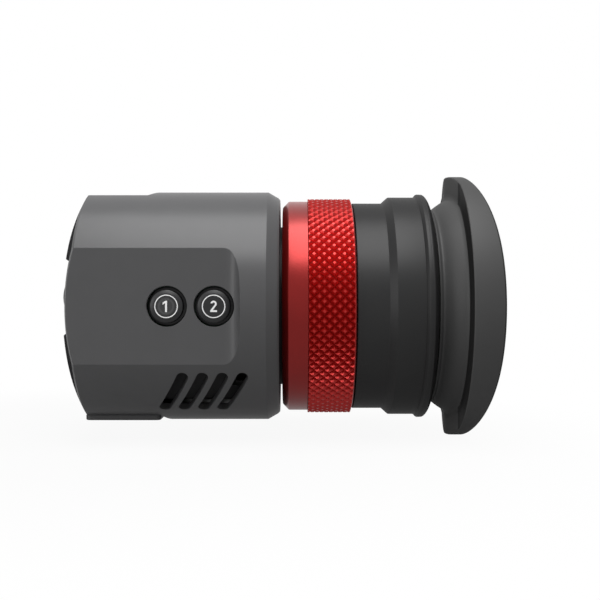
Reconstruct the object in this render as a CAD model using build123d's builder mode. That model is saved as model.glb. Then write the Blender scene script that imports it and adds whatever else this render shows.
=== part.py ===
"""Electronic viewfinder: cast body, display unit, turned focus drive, eyepiece and rubber eyecup.

The optical axis runs along X, with +X toward the eye. +Y points away from the side that carries
the two buttons, and +Z is up. The origin is the mouth of the tripod thread under the body.
"""
import math
import os

from build123d import *

os.makedirs("parts", exist_ok=True)

# Optical axis and outer form of the body. Stations are places along X.
plate_thickness = 1.3
body_radius = 30.5
side_flat_drop = 3.5
top_flat_drop = 1.6
base_flat_drop = 2.1
side_flat = body_radius - side_flat_drop
top_flat = body_radius - top_flat_drop
base_flat = body_radius - base_flat_drop
axis_height = base_flat + plate_thickness
wall = 2.0
dome_apex = -14.9
front_edge = -9.2
dome_height = front_edge - dome_apex
dome_knee_share = 0.5
dome_knee_drop_share = 0.11
flat_end = 27.2
flat_end_radius = 4.3
pad_end = 6.3
pad_ramp_end = 8.7
rear_chamfer_start = 37.6
rear_chamfer_end = 40.2
rear_drop = 1.5
rear_radius = body_radius - rear_drop
rear_face = 40.7
rear_wall = 3.2
overrun = 5.0

# Clearances
fit_gap = 0.05
seam_gap = 0.1
screw_gap = 0.05

# Front cover with its finger channel and round knob
cover_rim = 1.3
cover_back = -5.9
cover_skin = 2.0
channel_floor = -10.5
channel_half_height = 8.7
channel_draft = 20.0
knob_rise = 2.3
knob_radius = 8.2
knob_dome_radius = 9.1
knob_tip = -17.9
knob_back = -10.6
knob_well_depth = 0.9
knob_well_gap = 0.35
knob_travel = 0.6
knob_grips = 24
knob_grip_radius = 0.35
stem_radius = 3.0
shaft_radius = 2.0
shaft_slack = 0.03
knob_socket_depth = 3.6
encoder_side = 12.0
encoder_corner = 0.5
encoder_depth = 4.5
encoder_bore_depth = 4.0
slider_radius = 2.6
slider_thickness = 0.6
slider_slack = 0.3
knob_board_width = 26.0
knob_board_height = 15.0
board_thickness = 1.2
post_radius = 2.2
knob_post_reach = 10.4

# Cover screws and their bosses
cover_screw_count = 4
cover_screw_phase = 45.0
cover_screw_drop = 4.9
cover_screw_circle = body_radius - cover_screw_drop
cover_boss_radius = 3.2
cover_boss_end = 2.0
cover_head_top = -10.6
small_head_radius = 1.9
small_head_height = 1.2
small_shank_radius = 0.9
cover_screw_grip = 4.0
drive_radius = 0.8
hex_sides = 6
drive_depth = 0.6

# Tripod plate under the body and the threads above and below it
plate_length = 19.6
plate_width = 22.0
plate_corner = 1.4
plate_round = 0.325
insert_radius = 3.9
insert_length = 5.5
thread_radius = 2.55
boss_radius = 5.2
top_thread_station = -1.0
plate_gap = 0.15
plate_screw_reach = 4.9
plate_screw_side = 7.2
plate_head_height = 0.8
plate_head_sink = 0.1
plate_screw_grip = 2.8

# Push buttons on the side
first_button = 13.4
button_spacing = 11.5
button_stations = (first_button, first_button + button_spacing)
button_radius = 4.0
button_face_radius = 3.0
button_rise = 0.6
button_bevel = 0.4
button_gap = 0.1
button_flange_radius = 4.7
button_flange = 0.65
button_stem_radius = 1.5
button_stem = 0.75
button_travel = 0.5
well_radius = 4.975
well_taper = 45.0
switch_side = 6.0
switch_corner = 0.5
switch_body = 2.7
switch_plunger = 0.3
switch_plunger_radius = 1.75
button_board_half_height = 7.0
button_board_gap = 0.5

# Vent slots, cut square to the slope below each side flat
vent_count = 4
vent_pitch = 4.9
vent_middle = 21.7
vent_width = 2.9
vent_length = 15.75
vent_lean = 24.4
vent_slope = 44.0
vent_cut = 10.0

# Boards, sockets and heat sink
main_board_front = 5.6
main_board_thickness = 1.6
main_board_inset = 3.0
chip_side = 12.0
chip_height = 1.4
chip_rise = 12.4
chip_drop = base_flat - chip_rise
memory_width = 8.0
memory_height = 5.0
memory_thickness = 1.0
memory_reach = 6.0
memory_rise = 5.0
pad_thickness = 1.0
sink_half_width = 11.5
sink_rise = 4.4
sink_bottom = sink_rise - base_flat
sink_tall = 14.3
sink_top = sink_bottom + sink_tall
sink_base = 2.0
sink_fin_end = 27.9
sink_fins = 7
sink_fin_thickness = 1.0
sink_tail_gap = 0.6
sink_tail_room = 1.0
sink_post_radius = 1.8
sink_post_reach = 9.8
side_board_end = 25.5
side_board_depth = 17.0
hdmi_station = 17.0
hdmi_width = 15.0
hdmi_height = 5.8
hdmi_depth = 11.5
hdmi_skin = 0.4
hdmi_bevel = 1.3
hdmi_tongue_width = 11.4
hdmi_tongue = 1.6
hdmi_block_share = 0.25
usb_width = 8.94
usb_height = 3.26
usb_depth = 7.4
usb_skin = 0.3
usb_tongue_width = 6.6
usb_tongue = 0.7
socket_sink = 0.3
socket_window_gap = 0.25
link_width = 12.0
link_height = 4.0

# Display unit
carrier_front = 29.0
carrier_plate = 2.0
carrier_inset = 4.7
carrier_skin = 1.6
carrier_post_count = 3
carrier_post_inset = 2.9
carrier_post_radius = 2.2
carrier_post_phase = 90.0
window_width = 15.6
window_height = 9.0
glass_width = 18.0
glass_height = 12.0
glass_thickness = 1.0
panel_width = 20.0
panel_height = 15.0
panel_thickness = 2.0
clamp_thickness = 0.8
clamp_width = 23.0
clamp_height = 18.0
clamp_ear_reach = 13.5
clamp_ear_radius = 2.2
clamp_ear_thickness = 1.6
clamp_screw_grip = 3.2
flex_width = 9.0
flex_thickness = 0.3
flex_height = 12.0
flex_bend = 1.5
flex_plug_width = 11.0
flex_plug_height = 3.0
flex_plug_depth = 1.6
standoff_radius = 1.9
standoff_reach = 14.0
standoff_rise = 10.0
board_screw_grip = 4.0

# Fixed eyepiece tube
tube_drop = 9.3
tube_wall = 2.0
tube_radius = body_radius - tube_drop
tube_bore = tube_radius - tube_wall
tube_end = 58.5
flange_reach = 3.5
flange_radius = tube_radius + flange_reach
flange_thickness = 2.2
flange_screw_count = 4
flange_screw_reach = 1.5
flange_screw_circle = tube_radius + flange_screw_reach
flange_screw_phase = 45.0
flange_screw_grip = 2.4
collar_reach = 1.2
collar_radius = tube_radius + collar_reach
collar_start = 42.0
collar_end = 43.4
seal_station = 46.0
seal_radius = 0.5
seal_groove = 1.0
slot_reach = 0.15

# Focus ring
ring_front = 41.4
ring_smooth_drop = 2.45
ring_smooth_radius = body_radius - ring_smooth_drop
ring_smooth_end = 48.15
knurl_rise = 0.6
ring_knurl_radius = ring_smooth_radius + knurl_rise
ring_knurl_start = 48.35
ring_rear_chamfer = 1.0
knurl_pitch = 2.6
knurl_count = 78
knurl_rows = 8
knurl_depth = 0.85
knurl_root = 0.4
knurl_bore_sides = 26
ring_rear = 59.7
ring_front_chamfer = 1.7
ring_play = 0.1
retainer_reach = 2.4
retainer_radius = tube_radius + retainer_reach
retainer_start = 57.15
retainer_end = 58.4
retainer_bore_play = 0.2
skirt_inset = 3.35
skirt_radius = ring_knurl_radius - skirt_inset
skirt_thickness = 0.9
skirt_end = 67.3

# Helical focus drive: three pins, straight slots in the tube, helical grooves in the ring
pin_count = 3
pin_radius = 1.2
pin_station = 49.0
pin_sink = 1.9
pin_inner = tube_bore - pin_sink
pin_reach = 1.8
pin_outer = tube_radius + pin_reach
pin_phase = 90.0
focus_lead = 13.333
focus_travel = 6.0
groove_play = 0.1
groove_depth_gap = 0.4
groove_margin = 0.4

# Eyepiece barrel
sleeve_start = 60.1
sleeve_drop = 0.5
sleeve_radius = ring_smooth_radius - sleeve_drop
sleeve_step_start = 67.7
sleeve_step_end = 69.5
sleeve_step = 1.6
sleeve_rear_radius = sleeve_radius + sleeve_step
sleeve_end = 76.4
sleeve_clearance = 0.4
sleeve_bore = skirt_radius + sleeve_clearance
web_front = 68.8
cell_front = 45.0
cell_radius = tube_bore - fit_gap
cell_wall = 2.1
cell_bore = cell_radius - cell_wall
cell_lip_width = 1.45
cell_lip = cell_bore - cell_lip_width
cell_lip_length = 1.0
eye_seat = 70.3
eye_step = 2.0
eye_bore = cell_bore + eye_step
bezel_step = 2.95
bezel_bore = eye_bore + bezel_step
bezel_bore_start = 72.2

# Lenses
lens_radius = cell_bore - fit_gap
lens_flat = 1.3
lens_clear = lens_radius - lens_flat
field_curve = 60.0
lens_edge = 2.4
spacer_length = 6.6
spacer_wall = 1.2
spacer_inner = lens_radius - spacer_wall
crown_edge = 2.5
crown_front_curve = 45.0
crown_rear_curve = 36.0
flint_edge = 4.6
flint_rear_curve = 110.0
retainer_length = 2.4
eye_lens_radius = eye_bore - fit_gap
eye_lens_edge = 2.7
eye_lens_curve = 38.0
eye_clear = eye_lens_radius - lens_flat
cement_gap = 0.02

# Bezel that holds the eye lens and carries the eyecup
bezel_front_gap = 0.1
ridge_rise = 0.8
ridge_radius = sleeve_rear_radius + ridge_rise
ridge_rise_end = 77.4
ridge_flat_end = 78.7
ridge_depth = 3.65
ridge_root_radius = ridge_radius - ridge_depth
ridge_end = 81.3
stub_step = 1.7
stub_radius = ridge_root_radius - stub_step
stub_end = 86.0
bead_height = 0.6
bead_radius = stub_radius + bead_height
bead_start = 85.1
aperture_margin = 0.1
aperture_radius = eye_clear + aperture_margin
stub_wall = 2.0
aperture_rear_radius = stub_radius - stub_wall

# Rubber eyecup
cup_start = 81.6
neck_wall = 1.6
cup_neck_radius = stub_radius + neck_wall
lip_front = 87.3
lip_reach = 4.1
lip_radius = body_radius + lip_reach
lip_thickness = 2.0
lip_overhang = 5.7
cup_neck_rear_radius = lip_radius - lip_overhang
rim_top = 88.9
rim_side = 94.65
rim_swell_share = 0.55
rim_round = 0.9
rim_points = 9
bowl_radius = lip_radius - lip_thickness
bowl_knee = 90.6
bowl_round = 2.4
bowl_floor_radius = bowl_radius - bowl_round
bowl_floor = 88.5
mouth_step = 1.2
bowl_mouth_radius = stub_radius - mouth_step
bowl_mouth = 87.2
lug_front = 85.5
lug_half_width = 15.0
lug_root = 0.5
lug_drop = 8.6
lug_chord = lip_radius - lug_drop
lug_step = 0.7
lug_radius = lip_radius - lug_step

half_turn = 180.0
full_turn = 360.0

optical_axis = Axis((0, 0, axis_height), (1, 0, 0))
axial_plane = Plane(origin=(0, 0, axis_height), x_dir=(1, 0, 0), z_dir=(0, -1, 0))
axis_section = Plane(origin=(0, 0, axis_height), x_dir=(0, 1, 0), z_dir=(1, 0, 0))


def station(x):
    """The plane across the optical axis at station x, with Y to the right and Z up."""
    return axis_section.offset(x)


def level(height):
    """The level plane at a height above the optical axis."""
    return Plane.XY.offset(axis_height + height)


def side(y):
    """The upright plane along the optical axis at depth y, facing the button side."""
    return axial_plane.offset(-y)


def half_section(*corners):
    """The closed half section of a turned piece, from its (station, radius) corners."""
    with BuildSketch(axial_plane) as section:
        with BuildLine():
            Polyline(*corners, close=True)
        make_face()
    return section.sketch


def band(start, end, inner, outer):
    """The half section of a plain ring between two stations and two radii."""
    return half_section((start, inner), (end, inner), (end, outer), (start, outer))


def body_outline(x, inset):
    """The body's section at station x, a circle with four flats, drawn in by an inset."""
    width = (side_flat - inset) * 2
    height = top_flat + base_flat - inset * 2
    with BuildSketch(station(x)) as outline:
        Circle(body_radius - inset)
        with Locations((0, (top_flat - base_flat) / 2)):
            Rectangle(width, height, mode=Mode.INTERSECT)
    return outline.sketch


def circle_places(radius, count, phase):
    """Places evenly spaced on a circle round the optical axis, as (Y, Z) pairs."""
    angles = [math.radians(phase + full_turn * turn / count) for turn in range(count)]
    return [(radius * math.cos(angle), radius * math.sin(angle)) for angle in angles]


def facing_front(x):
    """The plane across the axis at station x that looks to the front, with Y to the left."""
    return Plane(origin=(x, 0, axis_height), x_dir=(0, -1, 0), z_dir=(-1, 0, 0))


def seen_from_front(places):
    """The same (Y, Z) places as the front-facing plane counts them."""
    return [(-y, z) for y, z in places]


def screws(plane, places, shank_length, head_height):
    """A set of small screws whose heads sit on the plane and whose shanks go below it."""
    with BuildPart() as group:
        with BuildSketch(plane):
            with Locations(*places):
                Circle(small_head_radius)
        extrude(amount=head_height)
        with BuildSketch(plane):
            with Locations(*places):
                Circle(small_shank_radius)
        extrude(amount=-shank_length)
        with BuildSketch(plane.offset(head_height)):
            with Locations(*places):
                RegularPolygon(drive_radius, hex_sides)
        extrude(amount=-drive_depth, mode=Mode.SUBTRACT)
    return group.part


def cut_holes(plane, places, radius, depth):
    """Round holes of one radius, cut from a plane down to a depth below it."""
    with BuildSketch(plane) as mouths:
        with Locations(*places):
            Circle(radius)
    extrude(mouths.sketch, amount=-depth, mode=Mode.SUBTRACT)


def outer_form():
    """The body as one block, with its dome, side flats, top and base pads and rear chamfer."""
    knee = (dome_apex + dome_height * dome_knee_drop_share, body_radius * dome_knee_share)
    rear_lip = rear_face - rear_chamfer_end
    beyond = body_radius + overrun
    ahead = dome_apex - overrun
    plate_pad_end = plate_length / 2 + plate_gap
    plate_ramp_end = plate_pad_end + body_radius - base_flat
    with BuildPart() as form:
        with BuildSketch(axial_plane):
            with BuildLine():
                cap = TangentArc((dome_apex, 0), knee, tangent=(0, 1))
                shoulder = TangentArc(cap @ 1, (front_edge, body_radius), tangent=cap % 1)
                Polyline(
                    shoulder @ 1,
                    (rear_chamfer_start, body_radius),
                    (rear_chamfer_end, rear_radius),
                    (rear_face, rear_radius - rear_lip),
                    (rear_face, 0),
                    (dome_apex, 0),
                )
            make_face()
        revolve(axis=optical_axis)
        with BuildSketch(level(0)):
            with BuildLine():
                flat_corner = TangentArc(
                    (flat_end, side_flat),
                    (flat_end + flat_end_radius, side_flat + flat_end_radius),
                    tangent=(1, 0),
                )
                Polyline(
                    flat_corner @ 1,
                    (flat_end + flat_end_radius, beyond),
                    (ahead, beyond),
                    (ahead, side_flat),
                    flat_corner @ 0,
                )
            make_face()
            mirror(about=Plane.XZ)
        extrude(amount=body_radius, both=True, mode=Mode.SUBTRACT)
        with BuildSketch(axial_plane):
            with BuildLine():
                Polyline(
                    (ahead, top_flat),
                    (pad_end, top_flat),
                    (pad_ramp_end, body_radius),
                    (pad_ramp_end, beyond),
                    (ahead, beyond),
                    close=True,
                )
            make_face()
            with BuildLine():
                Polyline(
                    (ahead, -base_flat),
                    (plate_pad_end, -base_flat),
                    (plate_ramp_end, -body_radius),
                    (plate_ramp_end, -beyond),
                    (ahead, -beyond),
                    close=True,
                )
            make_face()
        extrude(amount=body_radius, both=True, mode=Mode.SUBTRACT)
    return form.part


def vent_plane(turn):
    """The plane that touches the slope below one side flat, where its vents are cut."""
    slope = math.radians(vent_slope)
    outward = (0, turn * math.sin(slope), -math.cos(slope))
    foot_y = outward[1] * body_radius
    foot_z = axis_height + outward[2] * body_radius
    return Plane(origin=(vent_middle, foot_y, foot_z), x_dir=(-turn, 0, 0), z_dir=outward)


# Stations and places worked out from the driving sizes
cover_head_seat = cover_head_top + small_head_height
cover_screw_places = circle_places(cover_screw_circle, cover_screw_count, cover_screw_phase)
cavity_end = rear_face - rear_wall
knob_level = axis_height + knob_rise
encoder_back = cover_back + encoder_depth
knob_board_back = encoder_back + board_thickness
main_board_back = main_board_front + main_board_thickness
chip_back = main_board_back + chip_height
sink_front = chip_back + pad_thickness
sink_back = sink_front + sink_base
inner_side = side_flat - wall
flange_outer = inner_side - button_gap
flange_inner = flange_outer - button_flange
stem_tip = flange_inner - button_stem
switch_top = stem_tip - button_travel - fit_gap
switch_face = switch_top - switch_plunger
board_face = switch_face - switch_body
button_board_back = board_face - board_thickness
button_board_end = carrier_front - button_board_gap
button_middle = sum(button_stations) / len(button_stations)
button_post_rise = button_board_half_height - small_head_radius
button_post_places = [(button_middle, -button_post_rise), (button_middle, button_post_rise)]
standoff_places = [
    (reach * standoff_reach, rise * standoff_rise) for reach in (-1, 1) for rise in (-1, 1)
]
knob_post_places = [(-knob_post_reach, knob_rise), (knob_post_reach, knob_rise)]
sink_post_places = [(-sink_post_reach, -chip_drop), (sink_post_reach, -chip_drop)]
flange_start = cavity_end - flange_thickness
carrier_radius = flange_radius - carrier_inset
carrier_post_circle = flange_radius - carrier_post_inset
carrier_back = carrier_front + carrier_plate
sink_tail_top = -carrier_radius - sink_tail_gap
sink_tail_end = flange_start - sink_tail_room
carrier_post_places = circle_places(carrier_post_circle, carrier_post_count, carrier_post_phase)
flange_screw_places = circle_places(flange_screw_circle, flange_screw_count, flange_screw_phase)
panel_front = carrier_front - panel_thickness
clamp_front = panel_front - clamp_thickness
clamp_ears = [(-clamp_ear_reach, 0), (clamp_ear_reach, 0)]
hdmi_level = board_thickness / 2 + hdmi_height / 2
usb_level = -board_thickness / 2 - usb_height / 2
socket_face = side_flat - socket_sink
plate_under = -base_flat - plate_thickness
plate_screw_seat = plate_under + plate_head_height + plate_head_sink
plate_screw_places = [
    (reach * plate_screw_reach, depth * plate_screw_side) for reach in (-1, 1) for depth in (-1, 1)
]
slot_start = pin_station - pin_radius - slot_reach
slot_end = pin_station + focus_travel + pin_radius + slot_reach
lens_seat = cell_front + cell_lip_length
crown_seat = lens_seat + lens_edge + spacer_length
flint_seat = crown_seat + crown_edge
inner_retainer_seat = flint_seat + flint_edge


# Body shell with its cavity, cover seat, bosses, button wells, vents and socket windows
with BuildPart() as housing:
    add(outer_form())
    extrude(body_outline(cover_back, wall), amount=cavity_end - cover_back, mode=Mode.SUBTRACT)
    with BuildSketch(station(cover_back)):
        with Locations(*cover_screw_places):
            Circle(cover_boss_radius)
        add(body_outline(cover_back, wall / 2), mode=Mode.INTERSECT)
    extrude(amount=cover_boss_end - cover_back)
    with BuildSketch(level(top_flat - wall / 2)):
        with Locations((top_thread_station, 0)):
            Circle(boss_radius)
    extrude(amount=wall / 2 - insert_length)
    with BuildSketch(level(wall / 2 - base_flat)):
        Circle(boss_radius)
    extrude(amount=insert_length - plate_thickness - wall / 2)
    with BuildSketch(side(-inner_side - wall / 2)):
        with Locations(*button_post_places):
            Circle(post_radius)
    extrude(amount=board_face - inner_side - wall / 2)
    front_reach = cover_back - dome_apex + overrun
    extrude(body_outline(cover_back, cover_rim), amount=-front_reach, mode=Mode.SUBTRACT)
    cut_holes(facing_front(cover_back), seen_from_front(cover_screw_places),
              small_shank_radius + screw_gap, cover_boss_end - cover_back)
    cut_holes(level(top_flat), [(top_thread_station, 0)], insert_radius + fit_gap, insert_length)
    cut_holes(level(-base_flat), [(0, 0)], insert_radius + fit_gap, plate_thickness - insert_length)
    cut_holes(level(-base_flat), plate_screw_places, small_shank_radius + screw_gap, -wall)
    cut_holes(side(-side_flat), [(x, 0) for x in button_stations], button_radius + button_gap, wall)
    cut_holes(side(-board_face), button_post_places, small_shank_radius + screw_gap,
              board_face - inner_side)
    well_depth = well_radius - button_radius - button_gap
    for x in button_stations:
        with BuildSketch(side(-side_flat)) as well_mouth:
            with Locations((x, 0)):
                Circle(well_radius)
        extrude(well_mouth.sketch, amount=-well_depth, taper=well_taper, mode=Mode.SUBTRACT)
        extrude(well_mouth.sketch, amount=overrun, mode=Mode.SUBTRACT)
    for turn in (-1, 1):
        with BuildSketch(vent_plane(turn)):
            with GridLocations(vent_pitch, 0, vent_count, 1):
                SlotOverall(vent_length, vent_width, rotation=half_turn / 2 - vent_lean)
        extrude(amount=-vent_cut, mode=Mode.SUBTRACT)
    with BuildSketch(side(side_flat)):
        with Locations((hdmi_station, hdmi_level)):
            RectangleRounded(hdmi_width + socket_window_gap * 2, hdmi_height + socket_window_gap * 2,
                             socket_window_gap * 2)
        with Locations((hdmi_station, usb_level)):
            SlotOverall(usb_width + socket_window_gap * 2, usb_height + socket_window_gap * 2)
    extrude(amount=wall + overrun, mode=Mode.SUBTRACT)
    cut_holes(facing_front(cavity_end), [(0, 0)], tube_radius + fit_gap, rear_wall)
    cut_holes(facing_front(cavity_end), seen_from_front(flange_screw_places),
              small_shank_radius + screw_gap, flange_screw_grip + screw_gap)
housing.part.label = "housing"
export_step(housing.part, "parts/housing.step")

# Front cover: the domed cap with its finger channel, knob well and relief behind
with BuildPart() as front_cover:
    add(outer_form())
    cover_outline = body_outline(cover_back, cover_rim + seam_gap)
    extrude(cover_outline, amount=dome_apex - overrun - cover_back, mode=Mode.INTERSECT)
    with BuildSketch(axial_plane):
        with BuildLine():
            draft = math.tan(math.radians(channel_draft))
            reach = channel_half_height + (channel_floor - dome_apex + overrun) * draft
            Polyline(
                (channel_floor, knob_rise - channel_half_height),
                (channel_floor, knob_rise + channel_half_height),
                (dome_apex - overrun, knob_rise + reach),
                (dome_apex - overrun, knob_rise - reach),
                close=True,
            )
        make_face()
    extrude(amount=body_radius, both=True, mode=Mode.SUBTRACT)
    relief_radius = body_radius - cover_rim - cover_skin
    with BuildSketch(station(cover_back)):
        Circle(cover_screw_circle - small_head_radius - cover_skin / 2)
        with Locations((0, knob_rise)):
            Rectangle(relief_radius * 2, (channel_half_height + cover_skin) * 2, mode=Mode.SUBTRACT)
    extrude(amount=-(cover_back - channel_floor), mode=Mode.SUBTRACT)
    with BuildSketch(facing_front(cover_back)):
        with Locations(*knob_post_places):
            Circle(post_radius)
    extrude(amount=cover_back - encoder_back)
    cut_holes(facing_front(encoder_back), knob_post_places, small_shank_radius + screw_gap,
              -(encoder_back - cover_back))
    cut_holes(facing_front(channel_floor), [(0, knob_rise)], knob_radius + knob_well_gap,
              knob_well_depth)
    cut_holes(facing_front(channel_floor), [(0, knob_rise)], stem_radius + seam_gap,
              cover_back - channel_floor)
    cut_holes(facing_front(cover_head_seat), seen_from_front(cover_screw_places),
              small_shank_radius + screw_gap, cover_back - cover_head_seat)
    cut_holes(facing_front(cover_head_seat), seen_from_front(cover_screw_places),
              small_head_radius + seam_gap, -overrun)
front_cover.part.label = "front_cover"
export_step(front_cover.part, "parts/front_cover.step")

cover_screws = screws(facing_front(cover_head_seat), seen_from_front(cover_screw_places),
                      cover_back - cover_head_seat + cover_screw_grip, small_head_height)
cover_screws.label = "cover_screws"
export_step(cover_screws, "parts/cover_screws.step")


# Menu knob: a domed cap with a gripped skirt and a stem that passes through the cover
knob_axis = Axis((0, 0, knob_level), (1, 0, 0))
knob_plane = Plane(origin=(0, 0, knob_level), x_dir=(1, 0, 0), z_dir=(0, -1, 0))
knob_socket_end = knob_tip + knob_socket_depth
knob_stem_end = cover_back - knob_travel - seam_gap
with BuildPart() as menu_knob:
    dome_middle = knob_tip + knob_dome_radius
    dome_start = dome_middle - math.sqrt(knob_dome_radius**2 - knob_radius**2)
    with BuildSketch(knob_plane):
        with BuildLine():
            RadiusArc((knob_tip, 0), (dome_start, knob_radius), knob_dome_radius)
            Polyline(
                (dome_start, knob_radius),
                (knob_back, knob_radius),
                (knob_back, stem_radius),
                (knob_stem_end, stem_radius),
                (knob_stem_end, shaft_radius + shaft_slack),
                (knob_socket_end, shaft_radius + shaft_slack),
                (knob_socket_end, 0),
                (knob_tip, 0),
            )
        make_face()
    revolve(axis=knob_axis)
    with BuildSketch(Plane(origin=(knob_back, 0, knob_level), x_dir=(0, 1, 0), z_dir=(1, 0, 0))):
        with PolarLocations(knob_radius, knob_grips):
            Circle(knob_grip_radius)
    extrude(amount=dome_start - knob_back, mode=Mode.SUBTRACT)
menu_knob.part.label = "menu_knob"
export_step(menu_knob.part, "parts/menu_knob.step")

with BuildPart() as encoder_shaft:
    with BuildSketch(Plane(origin=(knob_socket_end + seam_gap, 0, knob_level), z_dir=(1, 0, 0))):
        Circle(shaft_radius)
    shaft_end = cover_back + encoder_bore_depth - knob_travel - slider_thickness - slider_slack
    extrude(amount=shaft_end - knob_socket_end - seam_gap)
encoder_shaft.part.label = "encoder_shaft"
export_step(encoder_shaft.part, "parts/encoder_shaft.step")

with BuildPart() as push_slider:
    with BuildSketch(Plane(origin=(shaft_end + seam_gap, 0, knob_level), z_dir=(1, 0, 0))):
        Circle(slider_radius)
    extrude(amount=slider_thickness)
push_slider.part.label = "push_slider"
export_step(push_slider.part, "parts/push_slider.step")

with BuildPart() as encoder_body:
    slider_room = knob_travel + slider_thickness + slider_slack
    with BuildSketch(station(cover_back)):
        with Locations((0, knob_rise)):
            RectangleRounded(encoder_side, encoder_side, encoder_corner)
    extrude(amount=encoder_depth)
    with BuildSketch(station(cover_back)):
        with Locations((0, knob_rise)):
            Circle(shaft_radius + shaft_slack)
    extrude(amount=encoder_bore_depth, mode=Mode.SUBTRACT)
    with BuildSketch(station(cover_back + encoder_bore_depth)):
        with Locations((0, knob_rise)):
            Circle(slider_radius + shaft_slack)
    extrude(amount=-slider_room, mode=Mode.SUBTRACT)
encoder_body.part.label = "encoder_body"
export_step(encoder_body.part, "parts/encoder_body.step")

with BuildPart() as knob_board:
    with BuildSketch(station(encoder_back)):
        with Locations((0, knob_rise)):
            RectangleRounded(knob_board_width, knob_board_height, board_thickness)
        with Locations(*knob_post_places):
            Circle(small_shank_radius + screw_gap, mode=Mode.SUBTRACT)
    extrude(amount=board_thickness)
knob_board.part.label = "knob_board"
export_step(knob_board.part, "parts/knob_board.step")

knob_board_screws = screws(station(knob_board_back), knob_post_places,
                           board_thickness + cover_screw_grip, small_head_height)
knob_board_screws.label = "knob_board_screws"
export_step(knob_board_screws, "parts/knob_board_screws.step")

with BuildPart() as board_link:
    with BuildSketch(station(knob_board_back)):
        with Locations((0, knob_rise)):
            Rectangle(link_width, link_height)
    extrude(amount=main_board_front - knob_board_back)
board_link.part.label = "board_link"
export_step(board_link.part, "parts/board_link.step")


# Tripod plate and the two threaded inserts
with BuildPart() as base_plate:
    with BuildSketch(level(plate_under)):
        RectangleRounded(plate_length, plate_width, plate_corner)
    extrude(amount=plate_thickness)
    fillet(base_plate.faces().sort_by(Axis.Z)[0].edges(), plate_round)
    cut_holes(level(plate_under), [(0, 0)], insert_radius + fit_gap, -plate_thickness)
    cut_holes(level(plate_under), plate_screw_places, small_shank_radius + screw_gap,
              -plate_thickness)
    cut_holes(level(plate_under), plate_screw_places, small_head_radius + screw_gap,
              plate_under - plate_screw_seat)
base_plate.part.label = "base_plate"
export_step(base_plate.part, "parts/base_plate.step")

under_plane = Plane(origin=(0, 0, axis_height + plate_screw_seat), x_dir=(-1, 0, 0), z_dir=(0, 0, -1))
plate_screws = screws(under_plane, plate_screw_places, plate_screw_grip, plate_head_height)
plate_screws.label = "plate_screws"
export_step(plate_screws, "parts/plate_screws.step")

with BuildPart() as base_insert:
    with BuildSketch(level(plate_under)):
        Circle(insert_radius)
        Circle(thread_radius, mode=Mode.SUBTRACT)
    extrude(amount=insert_length)
base_insert.part.label = "base_insert"
export_step(base_insert.part, "parts/base_insert.step")

with BuildPart() as top_insert:
    with BuildSketch(level(top_flat)):
        with Locations((top_thread_station, 0)):
            Circle(insert_radius)
            Circle(thread_radius, mode=Mode.SUBTRACT)
    extrude(amount=-insert_length)
top_insert.part.label = "top_insert"
export_step(top_insert.part, "parts/top_insert.step")


# Push buttons: one cap for each well, with a bevelled face, a retaining flange and a stem
def button_cap(x):
    """A push button's cap, turned about its own axis at station x."""
    face = -side_flat - button_rise
    with BuildPart() as cap:
        with BuildSketch(Plane(origin=(x, 0, axis_height), x_dir=(1, 0, 0), z_dir=(0, 0, 1))):
            with BuildLine():
                Polyline(
                    (0, face),
                    (button_face_radius, face),
                    (button_radius, face + button_bevel),
                    (button_radius, -flange_outer),
                    (button_flange_radius, -flange_outer),
                    (button_flange_radius, -flange_inner),
                    (button_stem_radius, -flange_inner),
                    (button_stem_radius, -stem_tip),
                    (0, -stem_tip),
                    close=True,
                )
            make_face()
        revolve(axis=Axis((x, 0, axis_height), (0, 1, 0)))
    return cap.part


for number, x in enumerate(button_stations, start=1):
    cap = button_cap(x)
    cap.label = f"button_{number}_cap"
    export_step(cap, f"parts/button_{number}_cap.step")

with BuildPart() as switches:
    with BuildSketch(side(-board_face)):
        with Locations(*[(x, 0) for x in button_stations]):
            RectangleRounded(switch_side, switch_side, switch_corner)
    extrude(amount=switch_body)
    with BuildSketch(side(-switch_face)):
        with Locations(*[(x, 0) for x in button_stations]):
            Circle(switch_plunger_radius)
    extrude(amount=switch_plunger)
switches.part.label = "switches"
export_step(switches.part, "parts/switches.step")

with BuildPart() as button_board:
    with BuildSketch(side(-button_board_back)):
        with Locations(((main_board_back + button_board_end) / 2, 0)):
            Rectangle(button_board_end - main_board_back, button_board_half_height * 2)
        with Locations(*button_post_places):
            Circle(small_shank_radius + screw_gap, mode=Mode.SUBTRACT)
    extrude(amount=board_thickness)
button_board.part.label = "button_board"
export_step(button_board.part, "parts/button_board.step")

inward = Plane(origin=(0, -button_board_back, axis_height), x_dir=(-1, 0, 0), z_dir=(0, 1, 0))
button_board_screws = screws(inward, [(-x, z) for x, z in button_post_places],
                             inner_side - button_board_back - seam_gap, small_head_height)
button_board_screws.label = "button_board_screws"
export_step(button_board_screws, "parts/button_board_screws.step")


# Main board with its chips, thermal pad and finned heat sink
with BuildPart() as main_board:
    extrude(body_outline(main_board_front, main_board_inset), amount=main_board_thickness)
    cut_holes(station(main_board_back), standoff_places + sink_post_places,
              small_shank_radius + screw_gap, main_board_thickness)
main_board.part.label = "main_board"
export_step(main_board.part, "parts/main_board.step")

with BuildPart() as processor:
    with BuildSketch(station(main_board_back)):
        with Locations((0, -chip_drop)):
            Rectangle(chip_side, chip_side)
    extrude(amount=chip_height)
processor.part.label = "processor"
export_step(processor.part, "parts/processor.step")

with BuildPart() as memory_chips:
    with BuildSketch(station(main_board_back)):
        with Locations((-memory_reach, memory_rise), (memory_reach, memory_rise)):
            Rectangle(memory_width, memory_height)
    extrude(amount=memory_thickness)
memory_chips.part.label = "memory_chips"
export_step(memory_chips.part, "parts/memory_chips.step")

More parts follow.
